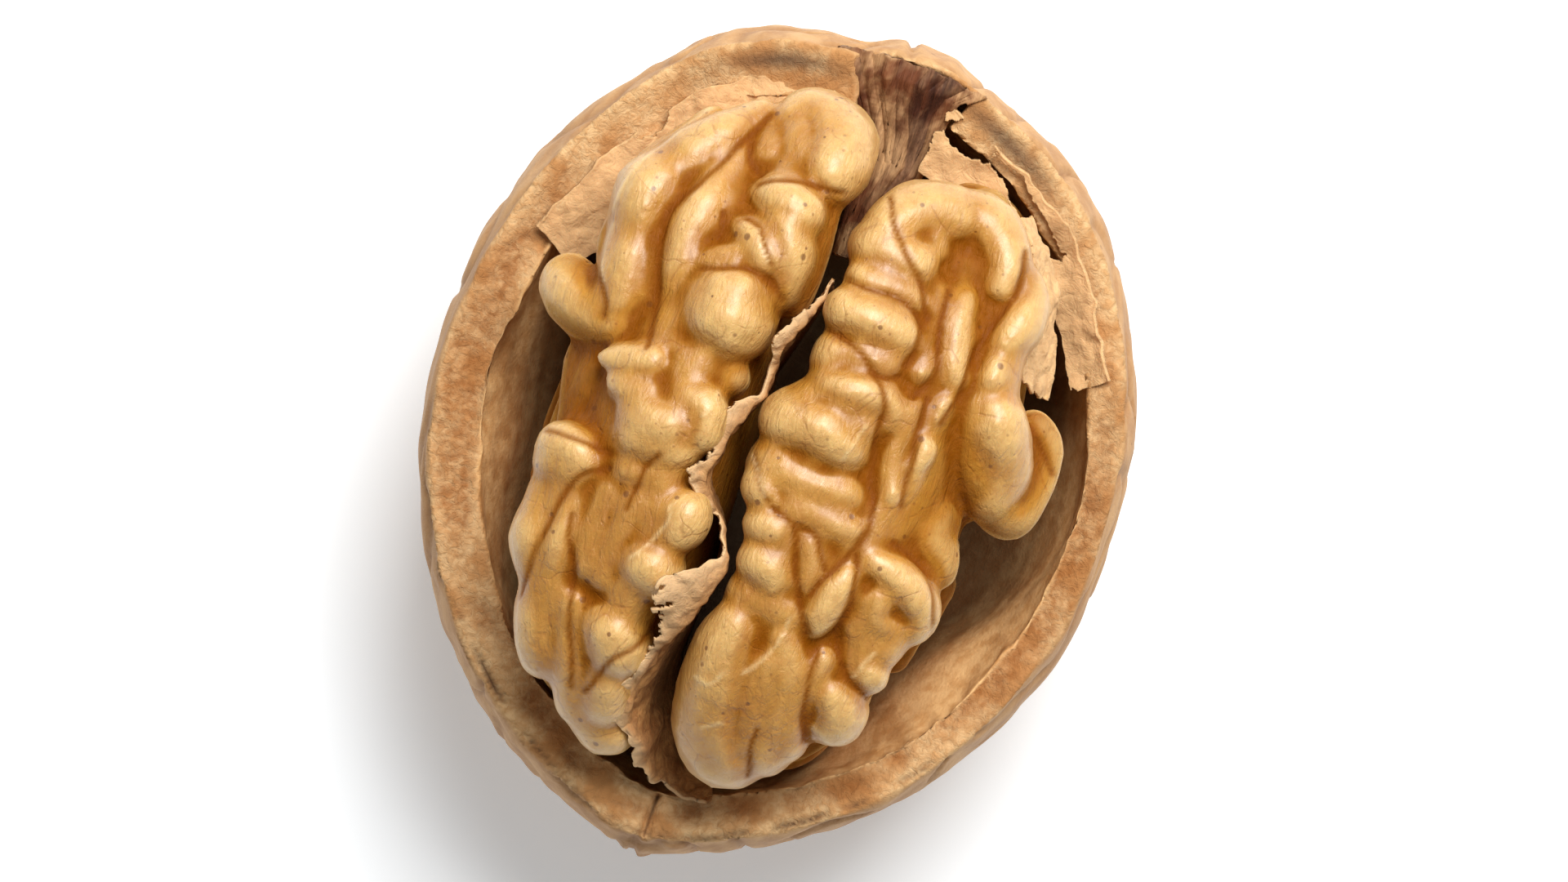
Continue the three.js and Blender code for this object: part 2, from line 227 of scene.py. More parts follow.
# %% The folds, as rows of x, y, thickness, how far under the dome
LEFT_FOLDS = [
    # the flesh that the folds grow from
    [(-3.4, 12.5, 1.5, 1.0), (-3.5, 9.8, 1.6, 0.75), (-3.9, 7.4, 1.5, 0.9), (-4.3, 4.0, 1.7, 1.0),
     (-4.9, 1.5, 1.8, 0.8), (-5.0, -1.5, 1.8, 0.8), (-4.4, -4.0, 1.7, 0.9), (-4.0, -6.3, 1.6, 0.8),
     (-4.1, -9.2, 1.6, 0.8), (-4.1, -12.4, 1.5, 0.7), (-3.8, -14.6, 1.4, 0.9)],
    [(-7.0, 12.4, 1.2, 1.4), (-8.2, 9.8, 1.5, 1.4), (-8.6, 7.0, 1.6, 1.3), (-8.4, 4.4, 1.7, 1.4)],
    [(-8.6, -4.6, 1.7, 0.9), (-8.2, -7.4, 1.8, 0.9), (-7.4, -10.2, 1.7, 0.9), (-6.4, -12.8, 1.5, 0.9)],
    # the hook at the stem end, with a dimple inside its bend
    [(-4.3, 15.2, 1.1, 0.5), (-3.7, 15.7, 1.4, 0.3), (-2.8, 15.6, 1.7, 0.1), (-1.95, 15.0, 2.0, 0.0),
     (-1.65, 14.0, 1.85, 0.0), (-1.8, 13.2, 1.6, 0.2)],
    [(-3.6, 14.3, 1.5, 0.6), (-3.2, 13.4, 1.4, 0.75)],
    [(-5.2, 14.2, 1.0, 1.1), (-4.8, 13.0, 1.1, 1.1)],
    # the lobes along the cleft, and the flank that falls into it
    [(-4.1, 11.2, 1.1, 0.5), (-3.4, 11.2, 1.5, 0.1), (-2.6, 11.0, 1.4, 0.2)],
    [(-3.0, 10.0, 1.4, 0.3), (-2.5, 9.0, 1.4, 0.5), (-2.4, 8.0, 1.2, 0.9), (-2.3, 7.2, 1.0, 1.4)],
    [(-1.7, 12.2, 1.0, 2.0), (-1.6, 11.0, 1.0, 2.2), (-1.5, 9.5, 1.0, 2.5), (-1.5, 8.0, 0.95, 2.8),
     (-1.6, 6.8, 0.9, 3.2)],
    [(-4.6, 9.3, 1.0, 0.5), (-4.0, 8.8, 1.2, 0.25), (-3.5, 8.3, 1.1, 0.3)],
    [(-5.9, 7.2, 0.9, 0.9), (-4.9, 7.8, 1.1, 0.6)],
    # the ball, the rim round it and the valley under it
    [(-4.2, 5.9, 2.15, -0.2), (-4.1, 5.4, 2.4, -0.4), (-4.1, 4.9, 2.2, -0.2)],
    [(-5.9, 6.0, 1.0, 1.0), (-5.9, 4.8, 1.1, 1.1), (-5.7, 3.6, 1.2, 1.2), (-5.9, 2.4, 1.3, 1.0)],
    [(-4.6, 2.3, 1.3, 1.5), (-3.2, 2.4, 1.2, 1.6)],
    # the outer ridge that starts beside the hook, and its lower outer rim
    [(-5.9, 15.0, 0.8, 0.9), (-6.7, 14.0, 1.1, 0.5), (-7.2, 13.3, 1.35, 0.2), (-8.2, 12.0, 1.5, 0.25),
     (-8.9, 10.9, 1.45, 0.5), (-9.5, 9.8, 1.75, 0.05), (-9.7, 8.8, 1.75, 0.15), (-9.6, 7.4, 1.5, 0.7),
     (-9.5, 6.2, 1.55, 0.7), (-9.3, 5.0, 1.6, 0.9), (-9.1, 4.0, 1.8, 1.1)],
    [(-8.0, 14.0, 0.8, 1.6), (-9.2, 12.2, 0.8, 1.9), (-9.9, 10.8, 0.9, 1.6), (-10.2, 8.8, 0.9, 1.5),
     (-10.5, 7.0, 0.95, 1.5), (-10.2, 5.8, 0.9, 1.5)],
    # the low ground between the ridge and the cleft lobes
    [(-6.3, 12.6, 1.0, 1.0), (-6.8, 11.2, 1.3, 0.8), (-7.0, 9.6, 1.5, 0.5), (-7.2, 8.2, 1.4, 0.7),
     (-7.0, 6.8, 1.4, 0.9), (-6.9, 5.2, 1.2, 1.4), (-6.9, 3.8, 1.2, 1.6)],
    [(-5.3, 13.3, 0.9, 1.4), (-5.8, 11.6, 0.9, 1.3), (-5.8, 10.2, 1.0, 1.2), (-5.9, 8.8, 0.8, 1.3)],
    # the finger that points outwards, and the lobe it grows from
    [(-12.0, 4.2, 1.35, 1.9), (-11.5, 3.7, 1.65, 1.6), (-10.6, 3.3, 1.7, 1.5), (-9.6, 3.2, 1.7, 1.35)],
    [(-9.4, 2.9, 1.3, 1.5), (-8.6, 3.2, 1.5, 1.2)],
    # the sharp lip and the broad middle
    [(-9.0, 1.25, 0.45, 1.0), (-8.2, 1.5, 0.75, 0.7), (-7.4, 1.6, 0.95, 0.5), (-6.6, 1.9, 1.1, 0.5)],
    [(-8.1, 0.4, 0.5, 0.9), (-7.4, 0.4, 0.9, 0.6), (-6.4, 0.3, 1.3, 0.5)],
    [(-6.2, -0.6, 1.5, 0.3), (-5.4, -0.7, 1.8, 0.05), (-4.6, -0.6, 1.8, 0.1)],
    [(-4.6, 0.8, 1.2, 0.5), (-3.7, 0.6, 1.2, 0.3), (-3.4, -0.6, 1.1, 0.4)],
    [(-6.1, -1.6, 1.3, 0.4), (-5.0, -1.7, 1.3, 0.4), (-4.0, -1.6, 1.2, 0.5)],
    [(-6.0, -3.2, 1.2, 0.9), (-4.6, -3.2, 1.2, 0.9)],
    # the deep recess beside it
    [(-9.6, 0.8, 1.4, 3.6), (-9.2, -0.6, 1.5, 3.4), (-8.9, -1.8, 1.5, 3.0)],
    # the knob and the outer column down to the tip
    [(-9.5, -3.6, 1.5, 0.5), (-8.8, -3.5, 1.5, 0.45), (-8.2, -3.8, 1.3, 0.7)],
    [(-9.4, -4.2, 1.5, 0.6), (-8.6, -4.2, 1.4, 0.6)],
    [(-9.4, -5.8, 1.25, 1.1), (-9.4, -6.8, 1.25, 0.9), (-9.3, -7.9, 1.45, 0.6), (-8.9, -8.9, 1.4, 0.8),
     (-8.3, -10.0, 1.3, 0.9), (-8.0, -11.3, 1.45, 0.6), (-7.5, -12.4, 1.45, 0.6), (-6.9, -13.3, 1.35, 0.8)],
    [(-8.0, -5.6, 1.1, 1.0), (-8.2, -7.2, 1.1, 0.6), (-8.0, -8.6, 1.1, 0.7)],
    # the flat slope between the columns, and the low ridge below it
    [(-6.6, -4.6, 1.2, 1.1), (-6.6, -6.4, 1.4, 1.0), (-6.3, -8.2, 1.4, 0.9)],
    [(-5.2, -4.6, 1.3, 0.9), (-5.4, -6.2, 1.2, 0.9), (-5.4, -8.6, 1.2, 0.9)],
    [(-6.6, -10.2, 1.1, 0.8), (-6.2, -11.6, 1.1, 0.7), (-5.7, -13.0, 1.1, 0.6), (-5.3, -14.2, 1.0, 0.6),
     (-4.9, -15.2, 0.9, 0.6)],
    # the lobes along the cleft down to the tip
    [(-4.2, -4.8, 1.1, 0.8), (-2.9, -4.3, 1.1, 0.5), (-2.8, -5.0, 1.25, 0.3), (-3.0, -5.6, 1.1, 0.5)],
    [(-4.1, -7.3, 1.4, 0.45), (-3.5, -7.5, 1.65, 0.1), (-3.1, -7.8, 1.3, 0.4)],
    [(-3.9, -9.4, 1.2, 1.1), (-3.3, -9.4, 1.0, 1.3)],
    [(-4.7, -10.8, 1.4, 0.35), (-4.1, -11.2, 1.8, 0.0), (-3.8, -11.9, 1.6, 0.25)],
    [(-3.9, -13.4, 1.4, 0.5), (-3.7, -14.2, 1.4, 0.5)],
    [(-4.0, -15.2, 1.3, 0.8), (-3.2, -15.6, 1.4, 0.9), (-2.6, -15.4, 1.2, 1.2)],
]
RIGHT_FOLDS = [
    # the flesh that the folds grow from
    [(2.6, 12.0, 1.7, 0.6), (2.5, 9.4, 1.8, 0.6), (2.5, 6.6, 1.8, 0.65), (2.4, 4.4, 1.8, 0.7),
     (2.0, 1.8, 1.9, 0.65), (2.1, -1.0, 1.9, 0.8), (2.0, -3.4, 1.8, 0.75), (2.2, -6.0, 1.8, 0.7),
     (2.2, -8.2, 1.8, 0.7)],
    [(6.0, 8.4, 1.5, 1.7), (6.4, 4.8, 1.7, 1.4), (6.2, 1.0, 1.7, 1.2), (5.4, -2.4, 1.8, 0.95),
     (4.6, -5.4, 1.6, 0.9), (6.6, -5.6, 1.6, 0.9), (7.2, -8.6, 1.6, 0.8)],
    [(8.8, 9.6, 1.4, 0.9), (8.9, 6.8, 1.4, 0.9), (9.4, 3.8, 1.7, 1.0), (9.8, 1.8, 1.6, 1.4)],
    # the arch at the stem end
    [(1.9, 11.6, 1.45, 0.2), (2.4, 12.6, 1.6, 0.0), (3.3, 13.2, 1.7, 0.0), (4.4, 13.5, 1.6, 0.1)],
    [(4.6, 13.4, 1.5, 0.15), (5.4, 13.7, 1.45, 0.35), (6.3, 13.5, 1.6, 0.05), (7.1, 12.9, 1.5, 0.1),
     (7.7, 12.1, 1.3, 0.1), (7.8, 11.0, 1.1, 0.5)],
    [(3.9, 12.2, 1.1, 0.7), (4.3, 11.4, 0.9, 1.1)],
    [(5.5, 12.1, 1.3, 2.0), (5.7, 11.1, 1.5, 1.7), (5.9, 9.9, 1.5, 1.6)],
    # the bands along the cleft
    [(1.7, 10.8, 1.5, 0.4), (2.6, 10.6, 1.7, 0.25), (3.7, 10.4, 1.5, 0.45)],
    [(1.7, 9.0, 1.2, 0.6), (2.8, 9.0, 1.2, 0.55), (3.9, 8.9, 1.1, 0.75)],
    [(1.3, 7.3, 1.35, 0.25), (2.4, 7.3, 1.5, 0.0), (3.5, 7.2, 1.4, 0.15), (4.1, 7.0, 1.1, 0.45)],
    [(2.3, 5.5, 1.2, 0.6), (3.4, 5.6, 1.1, 0.45), (4.1, 5.7, 0.9, 0.6)],
    [(1.3, 5.2, 1.2, 0.85), (1.1, 4.6, 1.1, 0.95)],
    [(1.5, 3.5, 1.2, 0.5), (2.4, 3.7, 1.35, 0.15), (3.4, 3.9, 1.3, 0.15), (4.4, 4.1, 1.1, 0.4)],
    [(4.9, 3.8, 0.9, 0.6), (4.9, 3.2, 0.9, 0.7)],
    [(1.0, 2.5, 1.3, 0.7), (2.3, 2.6, 1.3, 0.5), (3.7, 2.4, 1.3, 0.45)],
    [(0.5, 1.4, 1.7, 0.25), (1.5, 1.5, 1.75, 0.0), (2.6, 1.3, 1.7, 0.05), (3.3, 1.1, 1.5, 0.3)],
    [(0.6, -0.8, 1.6, 0.9), (1.7, -1.1, 1.6, 0.65), (3.2, -1.1, 1.6, 0.6), (4.2, -1.0, 1.4, 0.7)],
    [(0.2, -2.0, 1.1, 0.9), (0.8, -2.5, 0.8, 0.9)],
    [(2.2, -2.4, 1.3, 0.7), (3.6, -2.6, 1.4, 0.6), (4.8, -2.6, 1.2, 0.7)],
    [(0.9, -3.7, 1.1, 0.6), (1.6, -3.8, 1.2, 0.45)],
    [(1.4, -5.4, 1.3, 0.3), (1.9, -5.7, 1.45, 0.15), (2.2, -6.1, 1.3, 0.3)],
    [(3.1, -3.9, 1.3, 0.65), (3.6, -4.8, 1.2, 0.6), (3.7, -5.9, 1.1, 0.6)],
    [(1.5, -7.2, 1.4, 0.6), (2.6, -7.2, 1.5, 0.45), (3.6, -7.3, 1.3, 0.55)],
    # the long smooth body at the tip
    [(1.2, -8.7, 1.3, 0.25), (1.2, -10.0, 1.8, 0.15), (1.7, -11.8, 2.3, 0.15), (2.2, -13.4, 2.4, 0.25),
     (2.8, -14.3, 2.2, 0.35)],
    [(3.4, -8.6, 1.1, 0.4), (4.1, -9.8, 1.3, 0.4), (4.2, -11.6, 1.7, 0.4), (4.2, -13.6, 1.8, 0.5)],
    [(3.2, -9.8, 1.7, 0.35), (3.2, -11.6, 1.9, 0.3), (3.4, -13.2, 1.9, 0.4)],
    [(5.5, -4.7, 0.7, 0.5), (5.2, -5.8, 1.05, 0.2), (4.9, -6.9, 1.0, 0.2), (4.8, -7.6, 0.7, 0.5)],
    # the outer lobes at the tip
    [(6.4, -3.6, 0.9, 0.6), (7.4, -3.8, 1.1, 0.3), (8.6, -4.4, 1.3, 0.15), (9.3, -5.1, 1.2, 0.4),
     (9.3, -6.0, 1.0, 0.7)],
    [(7.2, -5.2, 0.9, 0.5), (7.4, -6.2, 0.8, 0.6), (8.4, -6.4, 1.1, 0.8), (8.0, -7.8, 1.1, 0.7)],
    [(6.5, -5.4, 0.7, 0.9), (6.5, -7.0, 0.8, 0.9)],
    [(7.8, -8.8, 1.0, 0.5), (8.3, -9.0, 0.9, 0.6)],
    [(6.6, -10.4, 1.0, 0.3), (7.2, -10.9, 1.5, 0.15), (7.2, -11.7, 1.4, 0.4)],
    [(5.6, -9.0, 0.8, 0.7), (5.2, -11.2, 1.0, 0.6), (5.4, -13.2, 1.1, 0.7)],
    # the outer lobes from the arch to the big ball
    [(8.9, 11.4, 1.0, 0.8), (9.3, 10.3, 1.3, 0.5), (9.2, 9.2, 1.4, 0.3), (8.9, 8.2, 1.1, 0.6)],
    [(8.8, 7.0, 0.9, 0.7), (8.8, 6.3, 0.9, 0.55)],
    [(8.6, 5.2, 1.2, 1.0), (8.9, 4.0, 1.2, 1.1), (9.1, 2.6, 1.2, 1.5)],
    [(9.5, 4.9, 1.5, 0.3), (9.9, 4.3, 1.75, 0.1), (10.4, 3.2, 1.75, 0.5), (10.6, 2.2, 1.65, 0.9),
     (10.6, 1.2, 1.5, 1.4)],
    # the lower finger outside it
    [(11.7, 4.9, 1.0, 2.3), (12.3, 4.4, 1.05, 2.1), (12.5, 3.2, 1.05, 2.0), (12.4, 2.0, 1.15, 1.9),
     (12.0, 0.9, 1.3, 1.9), (11.4, 0.7, 1.2, 1.9)],
    # the thin folds in the valley
    [(5.0, 9.6, 0.9, 1.3), (5.1, 8.4, 0.85, 1.25), (5.4, 7.0, 0.85, 1.15), (5.5, 5.8, 0.9, 0.9)],
    [(6.3, 9.8, 0.8, 1.2), (6.3, 8.2, 0.95, 0.95), (6.6, 6.8, 1.0, 0.85), (7.0, 5.9, 0.8, 0.9)],
    [(7.5, 9.6, 0.5, 1.7), (7.6, 8.0, 0.5, 1.6)],
    [(7.0, 4.6, 0.7, 0.9), (7.0, 3.8, 0.6, 1.0)],
    [(5.8, 4.2, 0.4, 0.9), (5.7, 3.0, 0.6, 0.9), (5.6, 1.6, 0.7, 1.0), (5.9, 0.4, 0.6, 0.9),
     (6.3, -0.5, 0.55, 0.7)],
    [(6.7, 2.9, 0.45, 0.9), (7.0, 2.2, 0.6, 0.6), (6.8, 1.2, 0.55, 0.8), (6.9, 0.0, 0.5, 1.1)],
    [(6.2, -1.6, 0.8, 1.2), (6.8, -2.0, 0.7, 1.3)],
    # the low flank between the big ball and the outer lobes
    [(8.4, -0.6, 1.1, 1.9), (8.4, -1.6, 1.2, 1.5), (9.2, -2.4, 1.2, 1.6), (9.6, -3.2, 1.0, 1.8)],
]

# %% Beads strung along a fold
BEAD_STRETCH = 1.35
PLUMPNESS = 1.06
BEAD_SPACING = 0.3


def beads_on(fold):
    beads = []
    for x, y, thickness, under in smooth_path(fold, 12):
        thickness *= PLUMPNESS
        tall = thickness * BEAD_STRETCH
        centre = np.array([x, y, dome_height(x, y) - under - tall])
        if beads and np.linalg.norm(centre - beads[-1][0]) < BEAD_SPACING * thickness:
            continue
        beads.append((centre, np.array([thickness, thickness, tall])))
    return beads


# %% [markdown]
# The flanks and the underside have folds too. Their exact course doesn't matter, so they wander over
# the body at random, partly sunk into it. A fixed seed makes them the same each time.

# %% The body under the folds and the wandering folds on its flanks
BODY_HALF_WIDTH = 4.6
BODY_HALF_LENGTH = 14.6
BODY_UP = DOME_TOP - DOME_MIDDLE - 1.8
BODY_DOWN = DOME_MIDDLE - left_low[2]
BODY_MIDDLE_X = 5.5
TIP_PINCH = {-1: 1.2, 1: 2.2}


def body_point(side, direction, sink=0.0):
    norm = np.sum(np.abs(direction) ** BLUNTNESS) ** (-1 / BLUNTNESS)
    reach = np.array([BODY_HALF_WIDTH, BODY_HALF_LENGTH, BODY_UP if direction[2] > 0 else BODY_DOWN])
    point = direction * norm * (reach - sink)
    towards_tip = max(0.0, -point[1] / BODY_HALF_LENGTH)
    middle = BODY_MIDDLE_X - TIP_PINCH[side] * towards_tip**2
    return point + np.array([side * middle, 0, DOME_MIDDLE])


def flank_beads(side, how_many, seed):
    chance = random.Random(seed)
    beads = []
    for _ in range(how_many):
        turn = chance.uniform(0, 2 * math.pi)
        height = chance.uniform(-0.9, 0.64)
        heading = chance.uniform(0, 2 * math.pi)
        thickness = chance.uniform(1.0, 1.6)
        for _ in range(chance.randint(8, 16)):
            level = math.sqrt(max(0.0, 1 - height**2))
            direction = np.array([math.cos(turn) * level, math.sin(turn) * level, height])
            faces_cleft = direction[0] * side < -0.35
            sink = thickness * (0.9 if faces_cleft else 0.3)
            beads.append((body_point(side, direction, sink), np.full(3, thickness)))
            heading += chance.uniform(-0.5, 0.5)
            turn += 0.055 * math.cos(heading)
            height = max(-0.95, min(0.66, height + 0.06 * math.sin(heading)))
    return beads


# %% [markdown]
# One ball is modelled and copied onto every bead, stretched to its thickness. Remeshing melts the
# hundreds of balls into one closed skin. What is left between two balls is a sharp crack, where a real
# seed has flesh, so the folds are filled a little: every point in a fold moves towards an ironed copy.

# %% Fill the folds a little
def fill_folds(piece, rounds, share):
    points = points_of(piece)
    smooth = ironed(piece, points, rounds)
    depth = np.einsum("ij,ij->i", smooth - points, normals_of(piece))
    place_points(piece, points + (share * step(0.0, 0.35, depth))[:, None] * (smooth - points))


# %% Melt the beads into one skin
VOXEL = 0.2


def bead_lump(name, beads, body):
    bpy.ops.mesh.primitive_ico_sphere_add(subdivisions=2, radius=1)
    ball = bpy.context.object
    unit = np.array([v.co for v in ball.data.vertices])
    faces = np.array([list(p.vertices) for p in ball.data.polygons])
    bpy.data.objects.remove(ball)
    bpy.ops.mesh.primitive_ico_sphere_add(subdivisions=5, radius=1)
    lump = bpy.context.object
    lump.name = lump.data.name = name
    core = np.array([body(np.array(v.co)) for v in lump.data.vertices])
    core_faces = np.array([list(p.vertices) for p in lump.data.polygons])
    points = [core] + [unit * size + centre for centre, size in beads]
    starts = len(core) + len(unit) * np.arange(len(beads))
    all_faces = np.vstack([core_faces] + [faces + start for start in starts])
    mesh = bpy.data.meshes.new(name)
    mesh.from_pydata(np.vstack(points) * MM, [], all_faces.tolist())
    lump.data = mesh
    apply_modifier(lump, "REMESH", mode="VOXEL", voxel_size=VOXEL * MM)
    return lump


FLANK_FOLDS = 70
SKIN_SMOOTHING = 14


def make_seed_half(name, side, folds, flank_seed):
    beads = [bead for fold in folds for bead in beads_on(fold)]
    beads += flank_beads(side, FLANK_FOLDS, flank_seed)
    seed = bead_lump(name, beads, lambda direction: body_point(side, direction))
    apply_modifier(seed, "SMOOTH", factor=0.5, iterations=SKIN_SMOOTHING)
    points = points_of(seed)
    points += 0.25 * drift(points, 5.0, side * 9.7) + 0.05 * drift(points, 1.9, side * 4.3)
    place_points(seed, points)
    fill_folds(seed, rounds=50, share=0.55)
    print(name, "has", len(beads), "beads and", len(seed.data.polygons), "faces")
    return seed


kernel_left = make_seed_half("kernel_left_skin", -1, LEFT_FOLDS, 11)
kernel_right = make_seed_half("kernel_right_skin", 1, RIGHT_FOLDS, 23)

# %% [markdown]
# Veins run over the folds as thin dark grooves, and in places the skin has pulled up into a thin pale
# line. Both are drawn as paths seen from above and pressed into the points near them.

# %% Veins and skin lines
LEFT_VEINS = [
    [(-5.5, 15.1), (-5.9, 14.2), (-6.5, 13.0), (-7.1, 11.8), (-7.9, 10.4), (-8.4, 9.0), (-8.4, 8.0),
     (-8.2, 6.7), (-7.8, 5.3), (-7.5, 3.8), (-7.3, 2.5)],
    [(-6.0, 7.0), (-5.2, 7.3), (-4.2, 7.6), (-3.2, 7.5), (-2.4, 7.2), (-1.9, 6.8)],
    [(-4.9, 11.6), (-4.2, 12.1), (-3.2, 12.5), (-1.9, 12.6), (-0.8, 12.6)],
    [(-4.9, 9.9), (-4.2, 9.6), (-3.5, 8.8), (-3.0, 8.1)],
    [(-5.9, 13.4), (-5.7, 12.6), (-4.9, 12.1)],
    [(-6.0, 9.9), (-5.6, 9.2), (-5.7, 8.7)],
    [(-10.9, 5.3), (-10.4, 4.6), (-10.0, 3.8), (-9.8, 3.2)],
    [(-10.9, -2.9), (-9.6, -2.9), (-8.4, -2.9), (-7.4, -3.1)],
    [(-7.2, -3.7), (-8.2, -4.4), (-8.7, -5.2), (-9.0, -6.5), (-9.1, -8.0), (-9.15, -9.6), (-9.2, -11.0)],
    [(-8.1, -6.4), (-7.9, -7.4), (-7.3, -8.8), (-6.9, -10.0), (-6.4, -11.4), (-5.8, -13.0), (-5.4, -14.2)],
    [(-5.0, -2.2), (-5.5, -3.0), (-5.6, -4.0), (-5.7, -5.2)],
    [(-2.5, -10.0), (-3.0, -11.2), (-3.8, -12.3), (-4.4, -13.4), (-4.7, -14.2)],
]
RIGHT_VEINS = [
    [(1.4, 13.2), (2.0, 12.2), (2.8, 11.2), (3.6, 10.4), (4.2, 9.6), (4.6, 8.8), (5.0, 8.2)],
    [(0.4, 8.8), (1.6, 8.7), (3.0, 8.7), (4.2, 8.4), (4.9, 7.7), (4.9, 6.6), (4.7, 5.6)],
    [(0.0, 6.2), (1.2, 6.0), (2.2, 5.6), (3.0, 5.1), (3.8, 4.85), (4.6, 5.1)],
    [(8.5, 13.0), (8.7, 12.0), (8.7, 11.0), (8.4, 10.0), (8.1, 9.0), (7.75, 8.0), (7.6, 7.0), (7.65, 6.0),
     (7.6, 4.8), (7.3, 3.6)],
    [(3.2, 4.9), (4.0, 4.5), (4.4, 3.4), (4.5, 2.4), (4.8, 1.2), (5.0, 0.0), (5.5, -1.0), (5.75, -2.2),
     (5.6, -3.2)],
    [(-1.1, -0.3), (-0.5, -1.2), (0.1, -2.1), (1.0, -2.8), (2.0, -3.2), (2.6, -4.2), (3.1, -5.4),
     (3.7, -6.8), (4.6, -8.0)],
    [(2.0, -3.2), (3.4, -3.5), (4.0, -4.2), (4.3, -4.8)],
    [(5.7, -2.4), (5.4, -3.4), (4.9, -4.4), (4.3, -5.4), (4.0, -6.2)],
    [(5.6, -3.6), (5.9, -4.6), (6.1, -5.8), (6.0, -7.2)],
    [(5.9, -7.4), (6.4, -8.6), (7.2, -9.4), (8.2, -9.95), (9.3, -9.95)],
    [(5.3, -8.6), (5.4, -10.0), (5.7, -11.6), (6.1, -13.0)],
    [(6.3, 4.6), (6.3, 3.6), (6.4, 2.4), (6.6, 1.0), (6.8, -0.6)],
    [(5.6, 9.8), (5.6, 8.6), (6.0, 7.0), (6.2, 5.9), (5.8, 4.9), (5.6, 4.4)],
    [(7.0, -2.5), (8.2, -2.9), (9.2, -3.6), (9.9, -4.8), (10.3, -6.0)],
    [(3.8, -13.2), (3.9, -14.4), (4.3, -15.6)],
    [(11.6, 5.0), (12.4, 4.2), (13.3, 3.2)],
]
SKIN_LINES = [
    [(-8.2, 14.7), (-9.4, 12.9), (-10.6, 10.8), (-11.1, 9.4), (-11.2, 8.2)],
    [(-10.9, 7.6), (-10.9, 6.6), (-10.7, 5.6), (-10.3, 4.9)],
    [(-4.3, 9.5), (-3.7, 8.8), (-3.2, 8.2)],
    [(-3.3, 1.6), (-3.3, 0.8), (-3.6, 0.2)],
    [(-3.8, -4.4), (-3.6, -5.2), (-3.9, -6.2), (-4.7, -7.4)],
    [(-1.0, -0.6), (-0.3, -1.5), (0.4, -2.4)],
    [(0.1, -5.0), (0.2, -6.2), (0.2, -8.0)],
    [(3.6, -7.4), (3.4, -8.8), (2.9, -10.2), (2.4, -10.8)],
    [(8.0, -7.8), (7.6, -8.6), (7.4, -9.2)],
    [(0.0, -11.8), (0.8, -12.0), (1.4, -11.2)],
    [(1.3, -14.0), (2.2, -13.5)],
    [(6.3, -12.2), (7.4, -12.6)],
    [(3.9, 2.3), (3.5, 1.2), (3.3, 0.4)],
]
VEIN_WIDTH = 0.17
VEIN_DEPTH = 0.08
SKIN_LINE_WIDTH = 0.09
SKIN_LINE_HEIGHT = 0.035


def draw_lines(points, paths, width):
    lifts_off = 0.2 * drift(points, 1.8, 3.0)[:, :2]
    flat = points[:, :2] + lifts_off
    drawn = np.zeros(len(points))
    for path in paths:
        drawn = np.maximum(drawn, hump(distance_to_path(flat, path), width))
    return drawn


def finish_skin(seed, veins):
    points = points_of(seed)
    normals = normals_of(seed)
    on_top = step(0.1, 0.5, normals[:, 2]) * step(17, 19, points[:, 2])
    vein = on_top * draw_lines(points, veins, VEIN_WIDTH)
    line = on_top * draw_lines(points, SKIN_LINES, SKIN_LINE_WIDTH)
    fine = 0.02 * ripple(points, 0.9, 1.0) + 0.008 * ripple(points, 0.45, 2.0)
    points += (fine - VEIN_DEPTH * vein + SKIN_LINE_HEIGHT * line)[:, None] * normals
    place_points(seed, points)
    paint(seed, "vein", vein)
    paint(seed, "skin_line", line)
    # fold: how deep each point lies in the folds; the skin uses it for painted shade in the folds and a
    # painted highlight on the crests
    paint(seed, "fold", np.clip(0.5 + 1.6 * depth_in_folds(seed, 80), 0, 1))
    under_dome = dome_height(points[:, 0], points[:, 1]) - points[:, 2]
    # low: parts that lie well under the dome and face up; the skin darkens them with painted shade
    paint(seed, "low", step(0.8, 3.1, under_dome) * step(0.1, 0.5, normals[:, 2]))
    select_only(seed)
    bpy.ops.object.shade_smooth()


finish_skin(kernel_left, LEFT_VEINS)
finish_skin(kernel_right, RIGHT_VEINS)
print("the kernel's skin has", len(LEFT_VEINS + RIGHT_VEINS), "veins")

# %% [markdown]
# ## The shell
# The plain shell already has the right outline, wall and rim height. A copy of it is merged, because its
# triangles are loose, and remeshed into small even faces. Then it is carved the way a real shell is:
# shallow grooves and a low seam outside, a broken, fibrous edge on top, and a smooth lining inside.

# %% Copy the plain shell and give it small even faces
RIM = 16.4
GIRTH = 13.2


def copy_of_plain(node, name):
    copy = frame["nodes"][node].copy()
    copy.data = frame["nodes"][node].data.copy()
    copy.parent = None
    copy.name = copy.data.name = name
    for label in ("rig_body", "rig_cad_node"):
        if label in copy:
            del copy[label]
    bpy.context.scene.collection.objects.link(copy)
    select_only(copy)
    bpy.ops.object.mode_set(mode="EDIT")
    bpy.ops.mesh.select_all(action="SELECT")
    bpy.ops.mesh.remove_doubles(threshold=0.001 * MM)
    bpy.ops.object.mode_set(mode="OBJECT")
    return copy


shell = copy_of_plain("shell_half", "shell_half_wood")
apply_modifier(shell, "REMESH", mode="VOXEL", voxel_size=0.24 * MM)
apply_modifier(shell, "SMOOTH", factor=0.5, iterations=8)
print("the shell has", len(shell.data.polygons), "faces")

# %% [markdown]
# Every point of the shell is sorted by where it is: outside, inside or on the broken edge, and how far
# across the wall it lies. The outline as seen from above is measured from the shell itself.

# %% Where each point of the shell lies
TURN_STEPS = 180
TURNS = np.linspace(-math.pi, math.pi, TURN_STEPS + 1)


